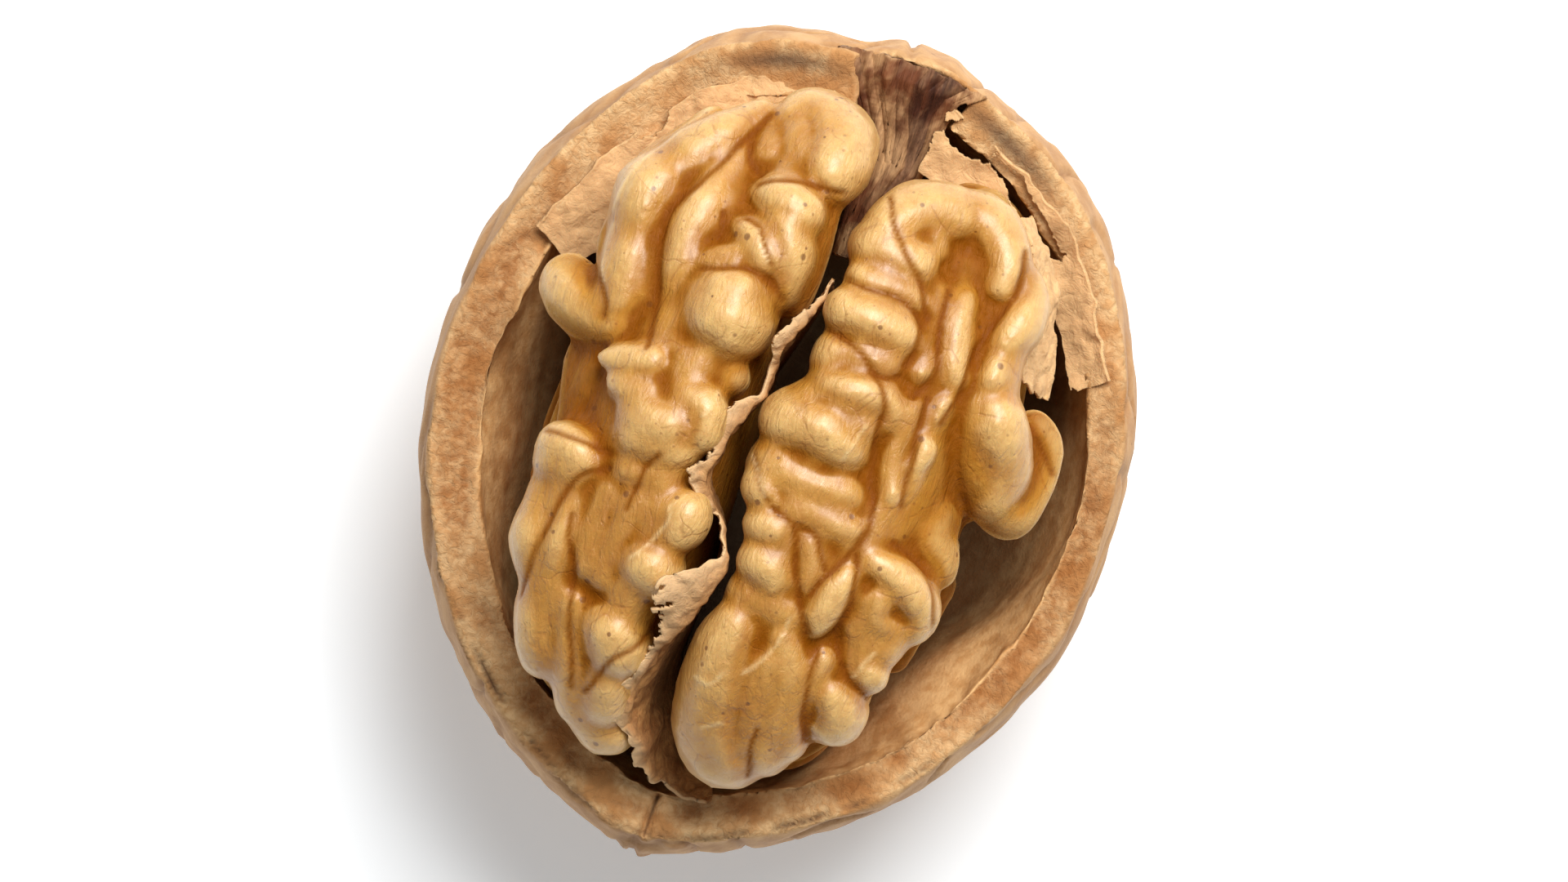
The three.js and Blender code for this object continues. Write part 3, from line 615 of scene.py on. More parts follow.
def radius_by_turn(points, pick):
    turn = np.arctan2(points[:, 1], points[:, 0])
    radius = np.hypot(points[:, 0], points[:, 1])
    slot = np.clip(np.round((turn + math.pi) / (2 * math.pi) * TURN_STEPS).astype(int), 0, TURN_STEPS)
    table = np.array([pick(radius[slot == s]) if (slot == s).any() else np.nan
                      for s in range(TURN_STEPS + 1)])
    table[0] = table[TURN_STEPS] = np.nanmean([table[0], table[TURN_STEPS]])
    return np.interp(turn, TURNS[~np.isnan(table)], table[~np.isnan(table)])


def near(turn, at_degrees, width_degrees):
    away = np.abs((turn - math.radians(at_degrees) + math.pi) % (2 * math.pi) - math.pi)
    return hump(away, math.radians(width_degrees))


points = points_of(shell)
normals = normals_of(shell)
turn = np.arctan2(points[:, 1], points[:, 0])
radius = np.hypot(points[:, 0], points[:, 1])
outline = radius_by_turn(points, np.max)
from_middle = points - np.array([0, 0, GIRTH])
from_middle /= np.linalg.norm(from_middle, axis=1)[:, None]
facing_out = np.einsum("ij,ij->i", normals, from_middle)
edge = step(0.55, 0.85, normals[:, 2]) * step(RIM - 2.4, RIM - 1.4, points[:, 2])
inside = step(0.1, -0.2, facing_out) * (1 - edge)
outside = step(-0.1, 0.2, facing_out) * (1 - edge)
WALL_AT_EDGE = 3.0
across = np.clip(1 - (outline - 0.5 - radius) / WALL_AT_EDGE, 0, 1)
print("of the shell's points", int(100 * edge.mean()), "in 100 are on the broken edge")

# %% [markdown]
# The edge broke unevenly. It has a coarse waviness, a fibrous fine grain, a porous darker band along
# the middle of the wall, and a lip on the outside. At the tip the seam shows as a notch right through.

# %% Break the edge
warped = points + 0.6 * drift(points, 3.0, 5.0)
coarse = ripple(warped, 3.4, 7.0)
grain = ripple(points * np.array([1, 1, 0.5]), 0.8, 8.0)
fine_grain = ripple(points, 0.42, 9.0)
band_middle = 0.45 + 0.16 * ripple(points, 4.0, 10.0)
band = hump(across - band_middle, 0.2) * step(-0.45, 0.35, ripple(points, 2.1, 11.0))
band *= 1 - 0.9 * near(turn, 122, 34) - 0.7 * near(turn, 55, 22)
browned = np.maximum(near(turn, 186, 32), near(turn, -6, 36)) * step(-1.8, 0.2, ripple(points, 2.8, 19.0))
band = np.clip(band + browned * (0.4 + 0.8 * hump(across - 0.62, 0.3)), 0, 1)
crack_at = 0.84 + 0.05 * ripple(points, 2.5, 17.0)
crack = hump(across - crack_at, 0.045) * np.maximum(near(turn, -65, 28), near(turn, -118, 18))
crack *= step(-0.5, 0.1, ripple(points, 1.6, 18.0))
stem_mark = hump(across - 0.6, 0.16) * np.maximum(near(turn, 108, 9), near(turn, 71, 10))
slope_in = 0.35 + 0.9 * near(turn, 130, 30) + 0.5 * near(turn, -70, 40)
tip_notch = hump(points[:, 0] - 0.35, 0.16) * step(-16.8, -18.0, points[:, 1])
lift = 0.24 * coarse + 0.07 * grain + 0.05 * fine_grain - 0.2 * band - 0.4 * crack
lift += slope_in * (across - 0.6) - 0.9 * tip_notch
points[:, 2] += edge * lift

# %% [markdown]
# Outside, a walnut shell has shallow grooves that run lengthwise, join like a net and fade out in
# places, and a raised seam with a fine line in it that runs from the tip under the nut to the stem.
# Inside, the wall undulates, and near the edge it is torn.

# %% Carve the outside and the inside
lengthwise = np.array([1.0, 0.42, 1.0])
net = ripple((points + 0.9 * drift(points, 4.0, 12.0)) * lengthwise, 2.6, 13.0)
groove = hump(net, 0.11) * (0.3 + 0.7 * step(-0.8, 0.5, ripple(points, 5.0, 22.0)))
dimples = ripple(points * lengthwise, 1.2, 14.0)
swell = ripple(points, 7.5, 15.0)
seam = hump(points[:, 0], 1.5) * step(12.0, 6.0, points[:, 2] - 0.35 * np.abs(points[:, 1]))
seam_line = hump(points[:, 0] - 0.12 * ripple(points, 2.5, 16.0), 0.2) * seam
carved = outside * (0.35 * swell - 0.3 * groove + 0.14 * dimples + 0.5 * seam - 0.45 * seam_line)
torn = inside * step(RIM - 3.2, RIM - 0.6, points[:, 2])
carved += inside * (0.3 * swell + 0.08 * dimples) + torn * (0.3 * coarse + 0.14 * grain)
points += carved[:, None] * normals
bulge = 0.2 + 2.4 * near(turn, 190, 34) + 2.0 * near(turn, -45, 32) + 0.6 * swell
slopes_in = inside * step(RIM - 0.2, 11.0, points[:, 2]) * step(2.5, 7.0, points[:, 2]) * bulge
points[:, :2] *= (1 - slopes_in / np.maximum(radius, 4.0))[:, None]
points[:, 2] = np.maximum(points[:, 2], 0)
place_points(shell, points)
select_only(shell)
bpy.ops.object.shade_smooth()
paint(shell, "edge", edge)
paint(shell, "inside", inside)
# mask for painted shade on the lining deep inside the cup
paint(shell, "painted_shade_deep", inside * step(RIM - 3.5, RIM - 9.0, points[:, 2]))
paint(shell, "band", band * edge)
paint(shell, "dark_mark", edge * np.maximum(crack, stem_mark))
paint(shell, "groove", outside * np.clip(groove + seam_line, 0, 1))
# fold: how deep each point lies in a hollow of the shell, used for painted shade
paint(shell, "fold", np.clip(0.5 + 1.8 * depth_in_folds(shell, 30), 0, 1))
print("the carved shell spans", np.round(points.min(0), 1), "to", np.round(points.max(0), 1), "mm")

# %% [markdown]
# ## Papery pieces
# The wall between the seed halves and the scraps of lining are membranes. Each starts as a grid whose
# points are laid out by a formula. What has torn away is deleted from the grid, and a Solidify modifier
# gives the rest its thickness.

# %% Lay out a membrane and tear it
def make_membrane(name, columns, rows, place, kept, thickness, pale_from=2.0):
    bpy.ops.mesh.primitive_grid_add(x_subdivisions=columns, y_subdivisions=rows, size=1)
    piece = bpy.context.object
    piece.name = piece.data.name = name
    flat = np.array([v.co for v in piece.data.vertices])
    u, v = flat[:, 0] + 0.5, flat[:, 1] + 0.5
    points = place(u, v)
    place_points(piece, points)
    keep = kept(u, v, points)
    paint(piece, "sideways", u)
    paint(piece, "torn_edge", np.maximum(step(0.35, 0.0, keep), step(pale_from, 1.0, v)))
    select_only(piece)
    bpy.ops.object.mode_set(mode="EDIT")
    bpy.ops.mesh.select_all(action="DESELECT")
    bpy.ops.object.mode_set(mode="OBJECT")
    piece.data.vertices.foreach_set("select", keep < 0)
    bpy.ops.object.mode_set(mode="EDIT")
    bpy.ops.mesh.delete(type="VERT")
    bpy.ops.mesh.select_all(action="SELECT")
    bpy.ops.mesh.delete_loose()
    bpy.ops.object.mode_set(mode="OBJECT")
    apply_modifier(piece, "SOLIDIFY", thickness=thickness * MM, offset=0)
    select_only(piece)
    bpy.ops.object.shade_smooth()
    print(name, "has", len(piece.data.polygons), "faces")
    return piece


def along(rows, at):
    rows = np.array(rows, float)
    order = np.argsort(rows[:, 0])
    return np.interp(at, rows[order, 0], rows[order, 1])


# %% [markdown]
# The septum stands in the cleft. Its torn upper edge leans on the left seed half, and in one place a
# crumpled flap of it lies over that half. At the tip it curls round under the right half.

# %% The septum
PAPER_THICKNESS = 0.16
SEPTUM_TOP = [  # x, y, how far under the dome, how wide its lip is
    (0.1, 8.4, 3.4, 0.1), (-0.3, 7.0, 2.4, 0.3), (-0.8, 5.8, 1.8, 0.6), (-1.2, 4.8, 1.9, 0.6),
    (-1.1, 3.5, 2.8, 0.2), (-1.2, 2.2, 2.6, 0.2), (-1.7, 1.0, 2.1, 0.9), (-2.2, -0.2, 1.6, 0.8),
    (-2.3, -1.4, 1.5, 0.5), (-2.5, -2.6, 1.4, 0.9), (-1.8, -3.7, 2.2, 0.3), (-0.9, -4.6, 2.6, 0.3),
    (-0.4, -5.6, 2.2, 0.3), (-0.3, -6.6, 1.7, 1.0), (-0.6, -7.8, 1.5, 2.1), (-1.0, -9.0, 1.5, 1.6),
    (-1.5, -10.2, 1.6, 0.8), (-2.0, -11.4, 1.6, 0.4), (-2.3, -12.6, 1.6, 0.4), (-2.4, -13.8, 1.6, 0.9),
    (-2.2, -14.8, 1.8, 0.9), (-1.2, -15.8, 2.0, 0.5), (-0.6, -16.8, 2.2, 0.5), (0.4, -17.4, 2.3, 0.4),
    (1.6, -17.6, 2.2, 0.3), (2.8, -17.5, 2.0, 0.2),
]
SEPTUM_FOOT = [(0.2, 8.2), (-0.9, 4.0), (-1.9, 1.0), (-2.3, -1.6), (-1.2, -4.2), (-0.8, -8.0),
               (-0.9, -11.0), (-0.4, -12.4), (0.8, -13.0), (2.6, -13.0)]
SEPTUM_FOOT_Z = 4.2
FOLD_OVER = 0.82


def place_septum(u, v):
    top = smooth_path(SEPTUM_TOP, 12)
    foot = smooth_path(SEPTUM_FOOT, 12)
    share = np.linspace(0, 1, len(top))
    foot_share = np.linspace(0, 1, len(foot))
    edge_point = np.stack([np.interp(u, share, top[:, axis]) for axis in range(4)], axis=1)
    foot_point = np.stack([np.interp(u, foot_share, foot[:, axis]) for axis in range(2)], axis=1)
    edge_z = dome_height(edge_point[:, 0], edge_point[:, 1]) - edge_point[:, 2]
    rise = np.clip(v / FOLD_OVER, 0, 1)
    over = np.clip((v - FOLD_OVER) / (1 - FOLD_OVER), 0, 1) * edge_point[:, 3]
    lean = rise**2.6
    x = foot_point[:, 0] * (1 - lean) + edge_point[:, 0] * lean - over * 1.1
    y = foot_point[:, 1] * (1 - lean) + edge_point[:, 1] * lean - over * 0.15
    z = SEPTUM_FOOT_Z + (edge_z - SEPTUM_FOOT_Z) * rise + 0.8 * over
    points = np.stack([x, y, z], axis=1)
    crumple = step(0.45, 0.9, v)[:, None]
    points += crumple * (0.32 * drift(points, 1.5, 20.0) + 0.16 * drift(points, 0.55, 21.0))
    return points


def septum_kept(u, v, points):
    ragged = 0.5 * ripple(points, 1.0, 22.0) + 0.45 * ripple(points, 0.3, 23.0)
    return (1 - v) * 5 + 0.15 + ragged - 0.8 * step(0.02, 0.0, u)


septum = make_membrane("septum_paper", 420, 110, place_septum, septum_kept,
                       PAPER_THICKNESS, FOLD_OVER - 0.06)

# %% [markdown]
# Lining that came off the wall lies as a ledge between the broken edge and the kernel. On the right it
# has a hole and a long slit in it, and a strip of it still hugs the right seed half.

# %% The ledges of lining
LINING_THICKNESS = 0.18


def place_ledge(from_degrees, to_degrees, outer, inner, drop, seed):
    def place(u, v):
        turn = np.radians(from_degrees + (to_degrees - from_degrees) * u)
        wall = np.interp(turn, TURNS, rim_inner)
        reach = wall + outer - v * (outer + along(inner, u))
        z = RIM + 0.1 - drop * v**0.8 + 0.15 * np.sin(3 * turn + seed)
        points = np.stack([reach * np.cos(turn), reach * np.sin(turn), z], axis=1)
        points += 0.35 * drift(points, 2.2, seed) + 0.12 * drift(points, 0.7, seed + 1)
        return points
    return place


on_edge = edge > 0.8
edge_turn = np.arctan2(points[on_edge, 1], points[on_edge, 0])
edge_radius = np.hypot(points[on_edge, 0], points[on_edge, 1])
rim_inner = np.array([
    edge_radius[np.abs(edge_turn - t) < 0.06].min() if (np.abs(edge_turn - t) < 0.06).any() else np.nan
    for t in TURNS
])
rim_inner = np.interp(TURNS, TURNS[~np.isnan(rim_inner)], rim_inner[~np.isnan(rim_inner)])


def hole(points, x, y, half_length, half_width, degrees):
    c, s = math.cos(math.radians(degrees)), math.sin(math.radians(degrees))
    dx, dy = points[:, 0] - x, points[:, 1] - y
    along_hole = (dx * c + dy * s) / half_length
    across_hole = (dy * c - dx * s) / half_width
    return (np.hypot(along_hole, across_hole) - 1) * half_width


def ragged(points, size, seed):
    return size * (ripple(points, 1.1, seed) + 0.7 * ripple(points, 0.35, seed + 1))


def left_kept(u, v, points):
    keep = np.minimum(hole(points, -10.7, 12.9, 0.9, 0.4, 55), hole(points, -3.4, 17.9, 1.5, 0.6, 5))
    keep = np.minimum(keep, (1 - v) * 4 + 0.1)
    return np.minimum(keep, u * 9) + ragged(points, 0.3, 30)


def right_kept(u, v, points):
    keep = np.minimum(hole(points, 4.2, 17.4, 1.35, 0.85, -20), hole(points, 7.8, 15.2, 3.3, 0.5, -38))
    keep = np.minimum(keep, (1 - v) * 4 + 0.1)
    return np.minimum(keep, np.minimum(u, 1 - u) * 7) + ragged(points, 0.22, 34)


lining_left = make_membrane(
    "lining_left_paper", 260, 90,
    place_ledge(157, 97, 0.9, [(0, 1.6), (0.2, 3.2), (0.5, 4.6), (0.8, 4.4), (1, 2.6)], 0.8, 31.0),
    left_kept, LINING_THICKNESS)
lining_right = make_membrane(
    "lining_right_paper", 300, 90,
    place_ledge(30, 82, 0.9, [(0, 0.9), (0.3, 1.2), (0.6, 2.0), (0.85, 2.8), (1, 2.4)], 1.0, 35.0),
    right_kept, LINING_THICKNESS)

# %% The flap on the right seed half
FLAP_EDGE = [(8.2, 14.6), (9.6, 13.2), (10.6, 11.6), (11.2, 9.8), (11.7, 8.0), (11.8, 6.6)]
FLAP_WIDTH = [(0, 0.6), (0.3, 1.3), (0.6, 1.9), (0.85, 2.2), (1, 1.6)]


def place_flap(u, v):
    path = smooth_path(FLAP_EDGE, 10)
    share = np.linspace(0, 1, len(path))
    x, y = (np.interp(u, share, path[:, axis]) for axis in range(2))
    width = along(FLAP_WIDTH, u)
    x -= v * width * 0.75
    z = RIM + 1.2 + 2.6 * v + 0.6 * u
    points = np.stack([x, y, z], axis=1)
    return points + 0.25 * drift(points, 1.6, 40.0) + 0.12 * drift(points, 0.5, 41.0)


def flap_kept(u, v, points):
    keep = np.minimum(np.minimum(u, 1 - u) * 8, np.minimum(v, 1 - v) * 3)
    return keep + ragged(points, 0.25, 42)


lining_flap = make_membrane("lining_flap_paper", 200, 60, place_flap, flap_kept, PAPER_THICKNESS)

# %% [markdown]
# ## The stem fibres
# The bundle is a fan of woody strands. It spreads over the edge of the shell at the stem end and
# narrows as it runs down into the cleft. Ridges along it are the strands.

# %% The stem fibres
BUNDLE_THICKNESS = 0.5
FIBRE_LEFT = [(19.9, -3.6), (19.0, -2.8), (18.0, -2.1), (16.5, -1.0), (15.0, -0.2), (12.5, -0.4),
              (10.0, -0.2)]
FIBRE_RIGHT = [(19.9, 4.2), (19.0, 3.1), (18.0, 2.8), (16.5, 2.7), (15.0, 2.4), (12.5, 1.0),
               (10.0, 0.4)]
STRAND_TONE = [(0.0, 0.1), (0.22, 0.9), (0.3, 0.75), (0.36, 0.9), (0.42, 0.45), (0.55, 0.6), (0.64, 0.1),
               (0.8, 0.0), (0.9, 0.85), (1.0, 1.0)]
FIBRE_HEIGHT = [(20.0, 16.9), (19.0, 16.9), (18.0, 16.4), (16.0, 15.6), (13.0, 14.6), (10.0, 13.4)]


def place_fibres(u, v):
    y = 19.9 - 10.0 * v
    left, right = along(FIBRE_LEFT, y), along(FIBRE_RIGHT, y)
    x = left + (right - left) * u
    spread = np.stack([5.5 * u, 0.09 * y, np.zeros_like(u)], axis=1)
    strands = ripple(spread, 0.55, 50.0) + 0.5 * ripple(spread, 0.24, 51.0)
    z = along(FIBRE_HEIGHT, y) - 0.5 * (2 * u - 1) ** 2 + 0.3 * strands
    y = y - 0.35 * (2 * u - 1) ** 2 * (1 - v) + 0.12 * ripple(spread, 0.3, 52.0)
    return np.stack([x, y, z], axis=1)


def fibres_kept(u, v, points):
    return np.minimum(np.minimum(v, 1 - v) * 9, np.minimum(u, 1 - u) * 6) + ragged(points, 0.12, 53)


stem_fibres = make_membrane("stem_fibres_bundle", 120, 240, place_fibres, fibres_kept, BUNDLE_THICKNESS)

# %% [markdown]
# ## Materials
# Four finishes share the same small effects, so each effect is a node group that is built once: soft
# blotches of colour, scattered specks, and fine branching lines. A group gives out a mask, and the
# material decides what to do with it.

# %% Small tools for building node groups and materials
def node(tree, kind, settings=None, **inputs):
    made = tree.nodes.new(kind)
    for setting, value in (settings or {}).items():
        setattr(made, setting, value)
    for socket, value in inputs.items():
        put(tree, made.inputs[socket.replace("_", " ")], value)
    return made


def put(tree, socket, value):
    if isinstance(value, bpy.types.NodeSocket):
        tree.links.new(value, socket)
    else:
        socket.default_value = value


def maths(tree, operation, first, second=0.0, third=0.0, clamp=False):
    made = node(tree, "ShaderNodeMath", {"operation": operation, "use_clamp": clamp})
    for socket, value in zip(made.inputs, (first, second, third)):
        put(tree, socket, value)
    return made.outputs[0]


def between(tree, value, low, high, to_low=0.0, to_high=1.0):
    made = node(tree, "ShaderNodeMapRange", {"interpolation_type": "SMOOTHSTEP"})
    for socket, given in zip(made.inputs, (value, low, high, to_low, to_high)):
        put(tree, socket, given)
    return made.outputs[0]


def blend(tree, share, first, second, how="MIX"):
    made = node(tree, "ShaderNodeMix", {"data_type": "RGBA", "blend_type": how})
    put(tree, made.inputs[0], share)
    put(tree, made.inputs[6], first)
    put(tree, made.inputs[7], second)
    return made.outputs[2]


def cover(tree, tint, mask, share, top):
    return blend(tree, maths(tree, "MULTIPLY", mask, share), tint, top)


def colour(red, green, blue):
    return tuple((c / 255 / 12.92 if c <= 10 else ((c / 255 + 0.055) / 1.055) ** 2.4)
                 for c in (red, green, blue)) + (1.0,)


def stretched(tree, place, stretch):
    made = node(tree, "ShaderNodeMapping", Scale=stretch)
    tree.links.new(place, made.inputs["Vector"])
    return made.outputs[0]


def cloud(tree, place, per_mm, detail=3.0, rough=0.5, twist=0.0):
    made = node(tree, "ShaderNodeTexNoise", Scale=1000.0 * per_mm, Detail=detail, Roughness=rough,
                Distortion=twist, Vector=place)
    return made.outputs[0]


# %% The shared effects as node groups
def new_group(name, **values):
    tree = bpy.data.node_groups.new(name, "ShaderNodeTree")
    tree.interface.new_socket("Place", in_out="INPUT", socket_type="NodeSocketVector")
    for label, value in {"Per mm": 1.0, **values}.items():
        socket = tree.interface.new_socket(label, in_out="INPUT", socket_type="NodeSocketFloat")
        socket.default_value = value
    tree.interface.new_socket("Mask", in_out="OUTPUT", socket_type="NodeSocketFloat")
    given = tree.nodes.new("NodeGroupInput").outputs
    return tree, given, maths(tree, "MULTIPLY", given["Per mm"], 1 / MM)


def give_out(tree, mask):
    tree.links.new(mask, tree.nodes.new("NodeGroupOutput").inputs["Mask"])
    return tree


def group_specks():
    tree, given, scale = new_group("specks", Size=0.15, Share=0.4)
    cells = node(tree, "ShaderNodeTexVoronoi", {"feature": "F1"}, Vector=given["Place"], Scale=scale)
    pick = node(tree, "ShaderNodeSeparateColor", Color=cells.outputs["Color"])
    size = maths(tree, "MULTIPLY", pick.outputs[1], given["Size"])
    dot = between(tree, cells.outputs["Distance"], maths(tree, "MULTIPLY", size, 0.5), size, 1.0, 0.0)
    chosen = maths(tree, "LESS_THAN", pick.outputs[0], given["Share"])
    return give_out(tree, maths(tree, "MULTIPLY", dot, chosen))


def group_blotches():
    tree, given, scale = new_group("blotches", Low=0.4, High=0.6)
    clouds = node(tree, "ShaderNodeTexNoise", Vector=given["Place"], Scale=scale, Detail=4.0,
                  Roughness=0.6, Distortion=0.4)
    return give_out(tree, between(tree, clouds.outputs[0], given["Low"], given["High"]))


def group_hairlines():
    tree, given, scale = new_group("hairlines", Width=0.04)
    bend = node(tree, "ShaderNodeTexNoise", Vector=given["Place"], Scale=scale, Detail=2.0)
    shift = node(tree, "ShaderNodeVectorMath", {"operation": "MULTIPLY_ADD"})
    tree.links.new(bend.outputs["Color"], shift.inputs[0])
    shift.inputs[1].default_value = (0.003, 0.003, 0.003)
    tree.links.new(given["Place"], shift.inputs[2])
    cells = node(tree, "ShaderNodeTexVoronoi", {"feature": "DISTANCE_TO_EDGE"}, Vector=shift.outputs[0],
                 Scale=scale)
    return give_out(tree, between(tree, cells.outputs["Distance"], 0.0, given["Width"], 1.0, 0.0))


SPECKS, BLOTCHES, HAIRLINES = group_specks(), group_blotches(), group_hairlines()


def effect(tree, group, place, **values):
    made = tree.nodes.new("ShaderNodeGroup")
    made.node_tree = group
    tree.links.new(place, made.inputs["Place"])
    for socket, value in values.items():
        put(tree, made.inputs[socket.replace("_", " ")], value)
    return made.outputs["Mask"]


def new_material(name, **settings):
    material = bpy.data.materials.new(name)
    material.use_nodes = True
    tree = material.node_tree
    shader = tree.nodes["Principled BSDF"]
    for socket, value in settings.items():
        shader.inputs[socket.replace("_", " ")].default_value = value
    return material, tree, shader, node(tree, "ShaderNodeTexCoord").outputs["Object"]


def mask_of(tree, name):
    return node(tree, "ShaderNodeAttribute", {"attribute_name": name}).outputs["Fac"]


def relief(tree, shader, height, millimetres):
    bump = node(tree, "ShaderNodeBump", Strength=1.0, Distance=millimetres * MM, Height=height)
    tree.links.new(bump.outputs[0], shader.inputs["Normal"])


# %% [markdown]
# The seed's skin is satin and golden. Its colour holds painted light: the crests are paler as a painted
# highlight, the folds are deeper amber, partly the skin's own colour and partly painted shade, and the
# parts that lie low under the dome get painted shade. It is crossed by fine veins and dotted with small
# brown specks. Only what stands up is glossy: the folds, the veins and the low parts are dull. Light
# goes a little way into it, so it has some subsurface scattering.

# %% The seed's skin
def seed_skin():
    material, tree, shader, place = new_material(
        "seed_skin", Subsurface_Weight=0.15, Subsurface_Radius=(1.0, 0.5, 0.2),
        Subsurface_Scale=0.0006, Coat_Roughness=0.32)
    fold, low, vein, line = (mask_of(tree, name) for name in ("fold", "low", "vein", "skin_line"))
    tint = blend(tree, effect(tree, BLOTCHES, place, Per_mm=0.28, Low=0.35, High=0.65),
                 colour(198, 142, 60), colour(180, 122, 42))
    # paler crests are a painted highlight; the deeper amber folds are partly the skin's own colour and
    # partly painted shade
    tint = blend(tree, between(tree, fold, 0.42, 0.1), tint, colour(222, 178, 108))
    tint = blend(tree, between(tree, fold, 0.44, 0.76), tint, colour(132, 72, 6))
    # painted shade over the parts that lie low under the dome
    tint = cover(tree, tint, low, 0.85, colour(130, 72, 10))
    mottle = effect(tree, BLOTCHES, place, Per_mm=1.6, Low=0.35, High=0.75)
    tint = cover(tree, tint, mottle, 0.3, colour(176, 108, 42))
    hairs = effect(tree, HAIRLINES, place, Per_mm=0.34, Width=0.035)
    broken = effect(tree, BLOTCHES, place, Per_mm=0.5, Low=0.45, High=0.6)
    hairs = maths(tree, "MULTIPLY", hairs, broken)
    tint = cover(tree, tint, hairs, 0.36, colour(150, 86, 24))
    tint = cover(tree, tint, vein, 0.8, colour(124, 64, 12))
    tint = cover(tree, tint, line, 0.4, colour(246, 214, 156))
    specks = effect(tree, SPECKS, place, Per_mm=1.1, Size=0.26, Share=0.5)
    dust = effect(tree, SPECKS, place, Per_mm=2.6, Size=0.3, Share=0.3)
    tint = cover(tree, tint, specks, 0.7, colour(112, 62, 20))
    tint = cover(tree, tint, dust, 0.45, colour(130, 74, 28))
    tree.links.new(tint, shader.inputs["Base Color"])
    tree.links.new(between(tree, cloud(tree, place, 1.1), 0.3, 0.7, 0.38, 0.5), shader.inputs["Roughness"])
    hidden = maths(tree, "MAXIMUM", between(tree, fold, 0.48, 0.66), between(tree, low, 0.0, 0.3))
    hidden = maths(tree, "MAXIMUM", hidden, vein)
    tree.links.new(between(tree, hidden, 0.0, 1.0, 0.5, 0.05), shader.inputs["Specular IOR Level"])
    tree.links.new(between(tree, hidden, 0.0, 1.0, 0.55, 0.0), shader.inputs["Coat Weight"])
    wrinkles = cloud(tree, stretched(tree, place, (1.0, 0.3, 1.0)), 3.0, 4.0, 0.6, 0.8)
    pores = cloud(tree, place, 7.0, 2.0)
    height = maths(tree, "MULTIPLY_ADD", pores, 0.12, maths(tree, "MULTIPLY", wrinkles, 1.0))
    height = maths(tree, "MULTIPLY_ADD", hairs, -0.12, height)
    height = maths(tree, "MULTIPLY_ADD", specks, -0.1, height)
    relief(tree, shader, height, 0.13)
    return material


# %% [markdown]
# The shell is dry wood. Outside it is tan and smooth with darker grooves. The broken edge is pale and
# grainy, with a brown porous band. The inside is a golden tan lining with brown stains. Painted shade
# darkens the lining towards the bottom of the cup and darkens every hollow of the shell.

# %% The shell's wood
def shell_wood():
    material, tree, shader, place = new_material("shell_wood", Specular_IOR_Level=0.3)
    edge_mask, inside_mask, painted_shade_deep, band_mask, mark, groove_mask, fold = (
        mask_of(tree, name) for name in ("edge", "inside", "painted_shade_deep", "band", "dark_mark", "groove", "fold"))
    streaks = cloud(tree, stretched(tree, place, (1.0, 0.25, 1.0)), 0.9, 5.0, 0.6, 0.4)
    hull = blend(tree, between(tree, streaks, 0.3, 0.7), colour(206, 160, 108), colour(180, 132, 84))
    hull = cover(tree, hull, groove_mask, 0.6, colour(140, 96, 58))
    specks = effect(tree, SPECKS, place, Per_mm=1.1, Size=0.2, Share=0.3)
    hull = cover(tree, hull, specks, 0.5, colour(120, 80, 48))
    fibres = cloud(tree, place, 2.4, 5.0, 0.7, 0.8)
    broken = blend(tree, between(tree, fibres, 0.35, 0.65), colour(238, 198, 144), colour(218, 168, 112))
    patches = cloud(tree, place, 0.45, 3.0)
    broken = blend(tree, between(tree, patches, 0.45, 0.65), broken, colour(198, 142, 86))
    pits = effect(tree, BLOTCHES, place, Per_mm=1.5, Low=0.36, High=0.66)
    porous = maths(tree, "MULTIPLY", band_mask, maths(tree, "MULTIPLY_ADD", pits, 0.45, 0.55), clamp=True)
    broken = cover(tree, broken, porous, 0.85, colour(150, 90, 38))
    broken = cover(tree, broken, mark, 0.85, colour(92, 66, 48))
    stains = effect(tree, BLOTCHES, place, Per_mm=0.32, Low=0.46, High=0.62)
    lining = blend(tree, between(tree, cloud(tree, place, 1.3, 4.0, 0.6), 0.35, 0.7),
                   colour(246, 200, 138), colour(220, 166, 104))
    lining = cover(tree, lining, stains, 0.5, colour(176, 116, 60))
    # painted shade towards the bottom of the cup
    lining = cover(tree, lining, painted_shade_deep, 0.85, colour(74, 42, 20))
    tint = blend(tree, edge_mask, blend(tree, inside_mask, hull, lining), broken)
    # painted shade in the shell's hollows
    tint = blend(tree, between(tree, fold, 0.6, 1.0, 0.0, 0.6), tint, colour(120, 74, 40))
    tree.links.new(tint, shader.inputs["Base Color"])
    tree.links.new(between(tree, edge_mask, 0.0, 1.0, 0.58, 0.85), shader.inputs["Roughness"])
    gritty = maths(tree, "MULTIPLY", fibres, maths(tree, "MULTIPLY_ADD", edge_mask, 1.2, 0.25))
    height = maths(tree, "MULTIPLY_ADD", cloud(tree, place, 6.0, 3.0), 0.25, gritty)
    height = maths(tree, "MULTIPLY_ADD", porous, -0.5, height)
    relief(tree, shader, height, 0.12)
    return material


# %% [markdown]
# The membranes are dull and thin, with fine wrinkles, brown stains and paler torn edges. A little light
# comes through them.

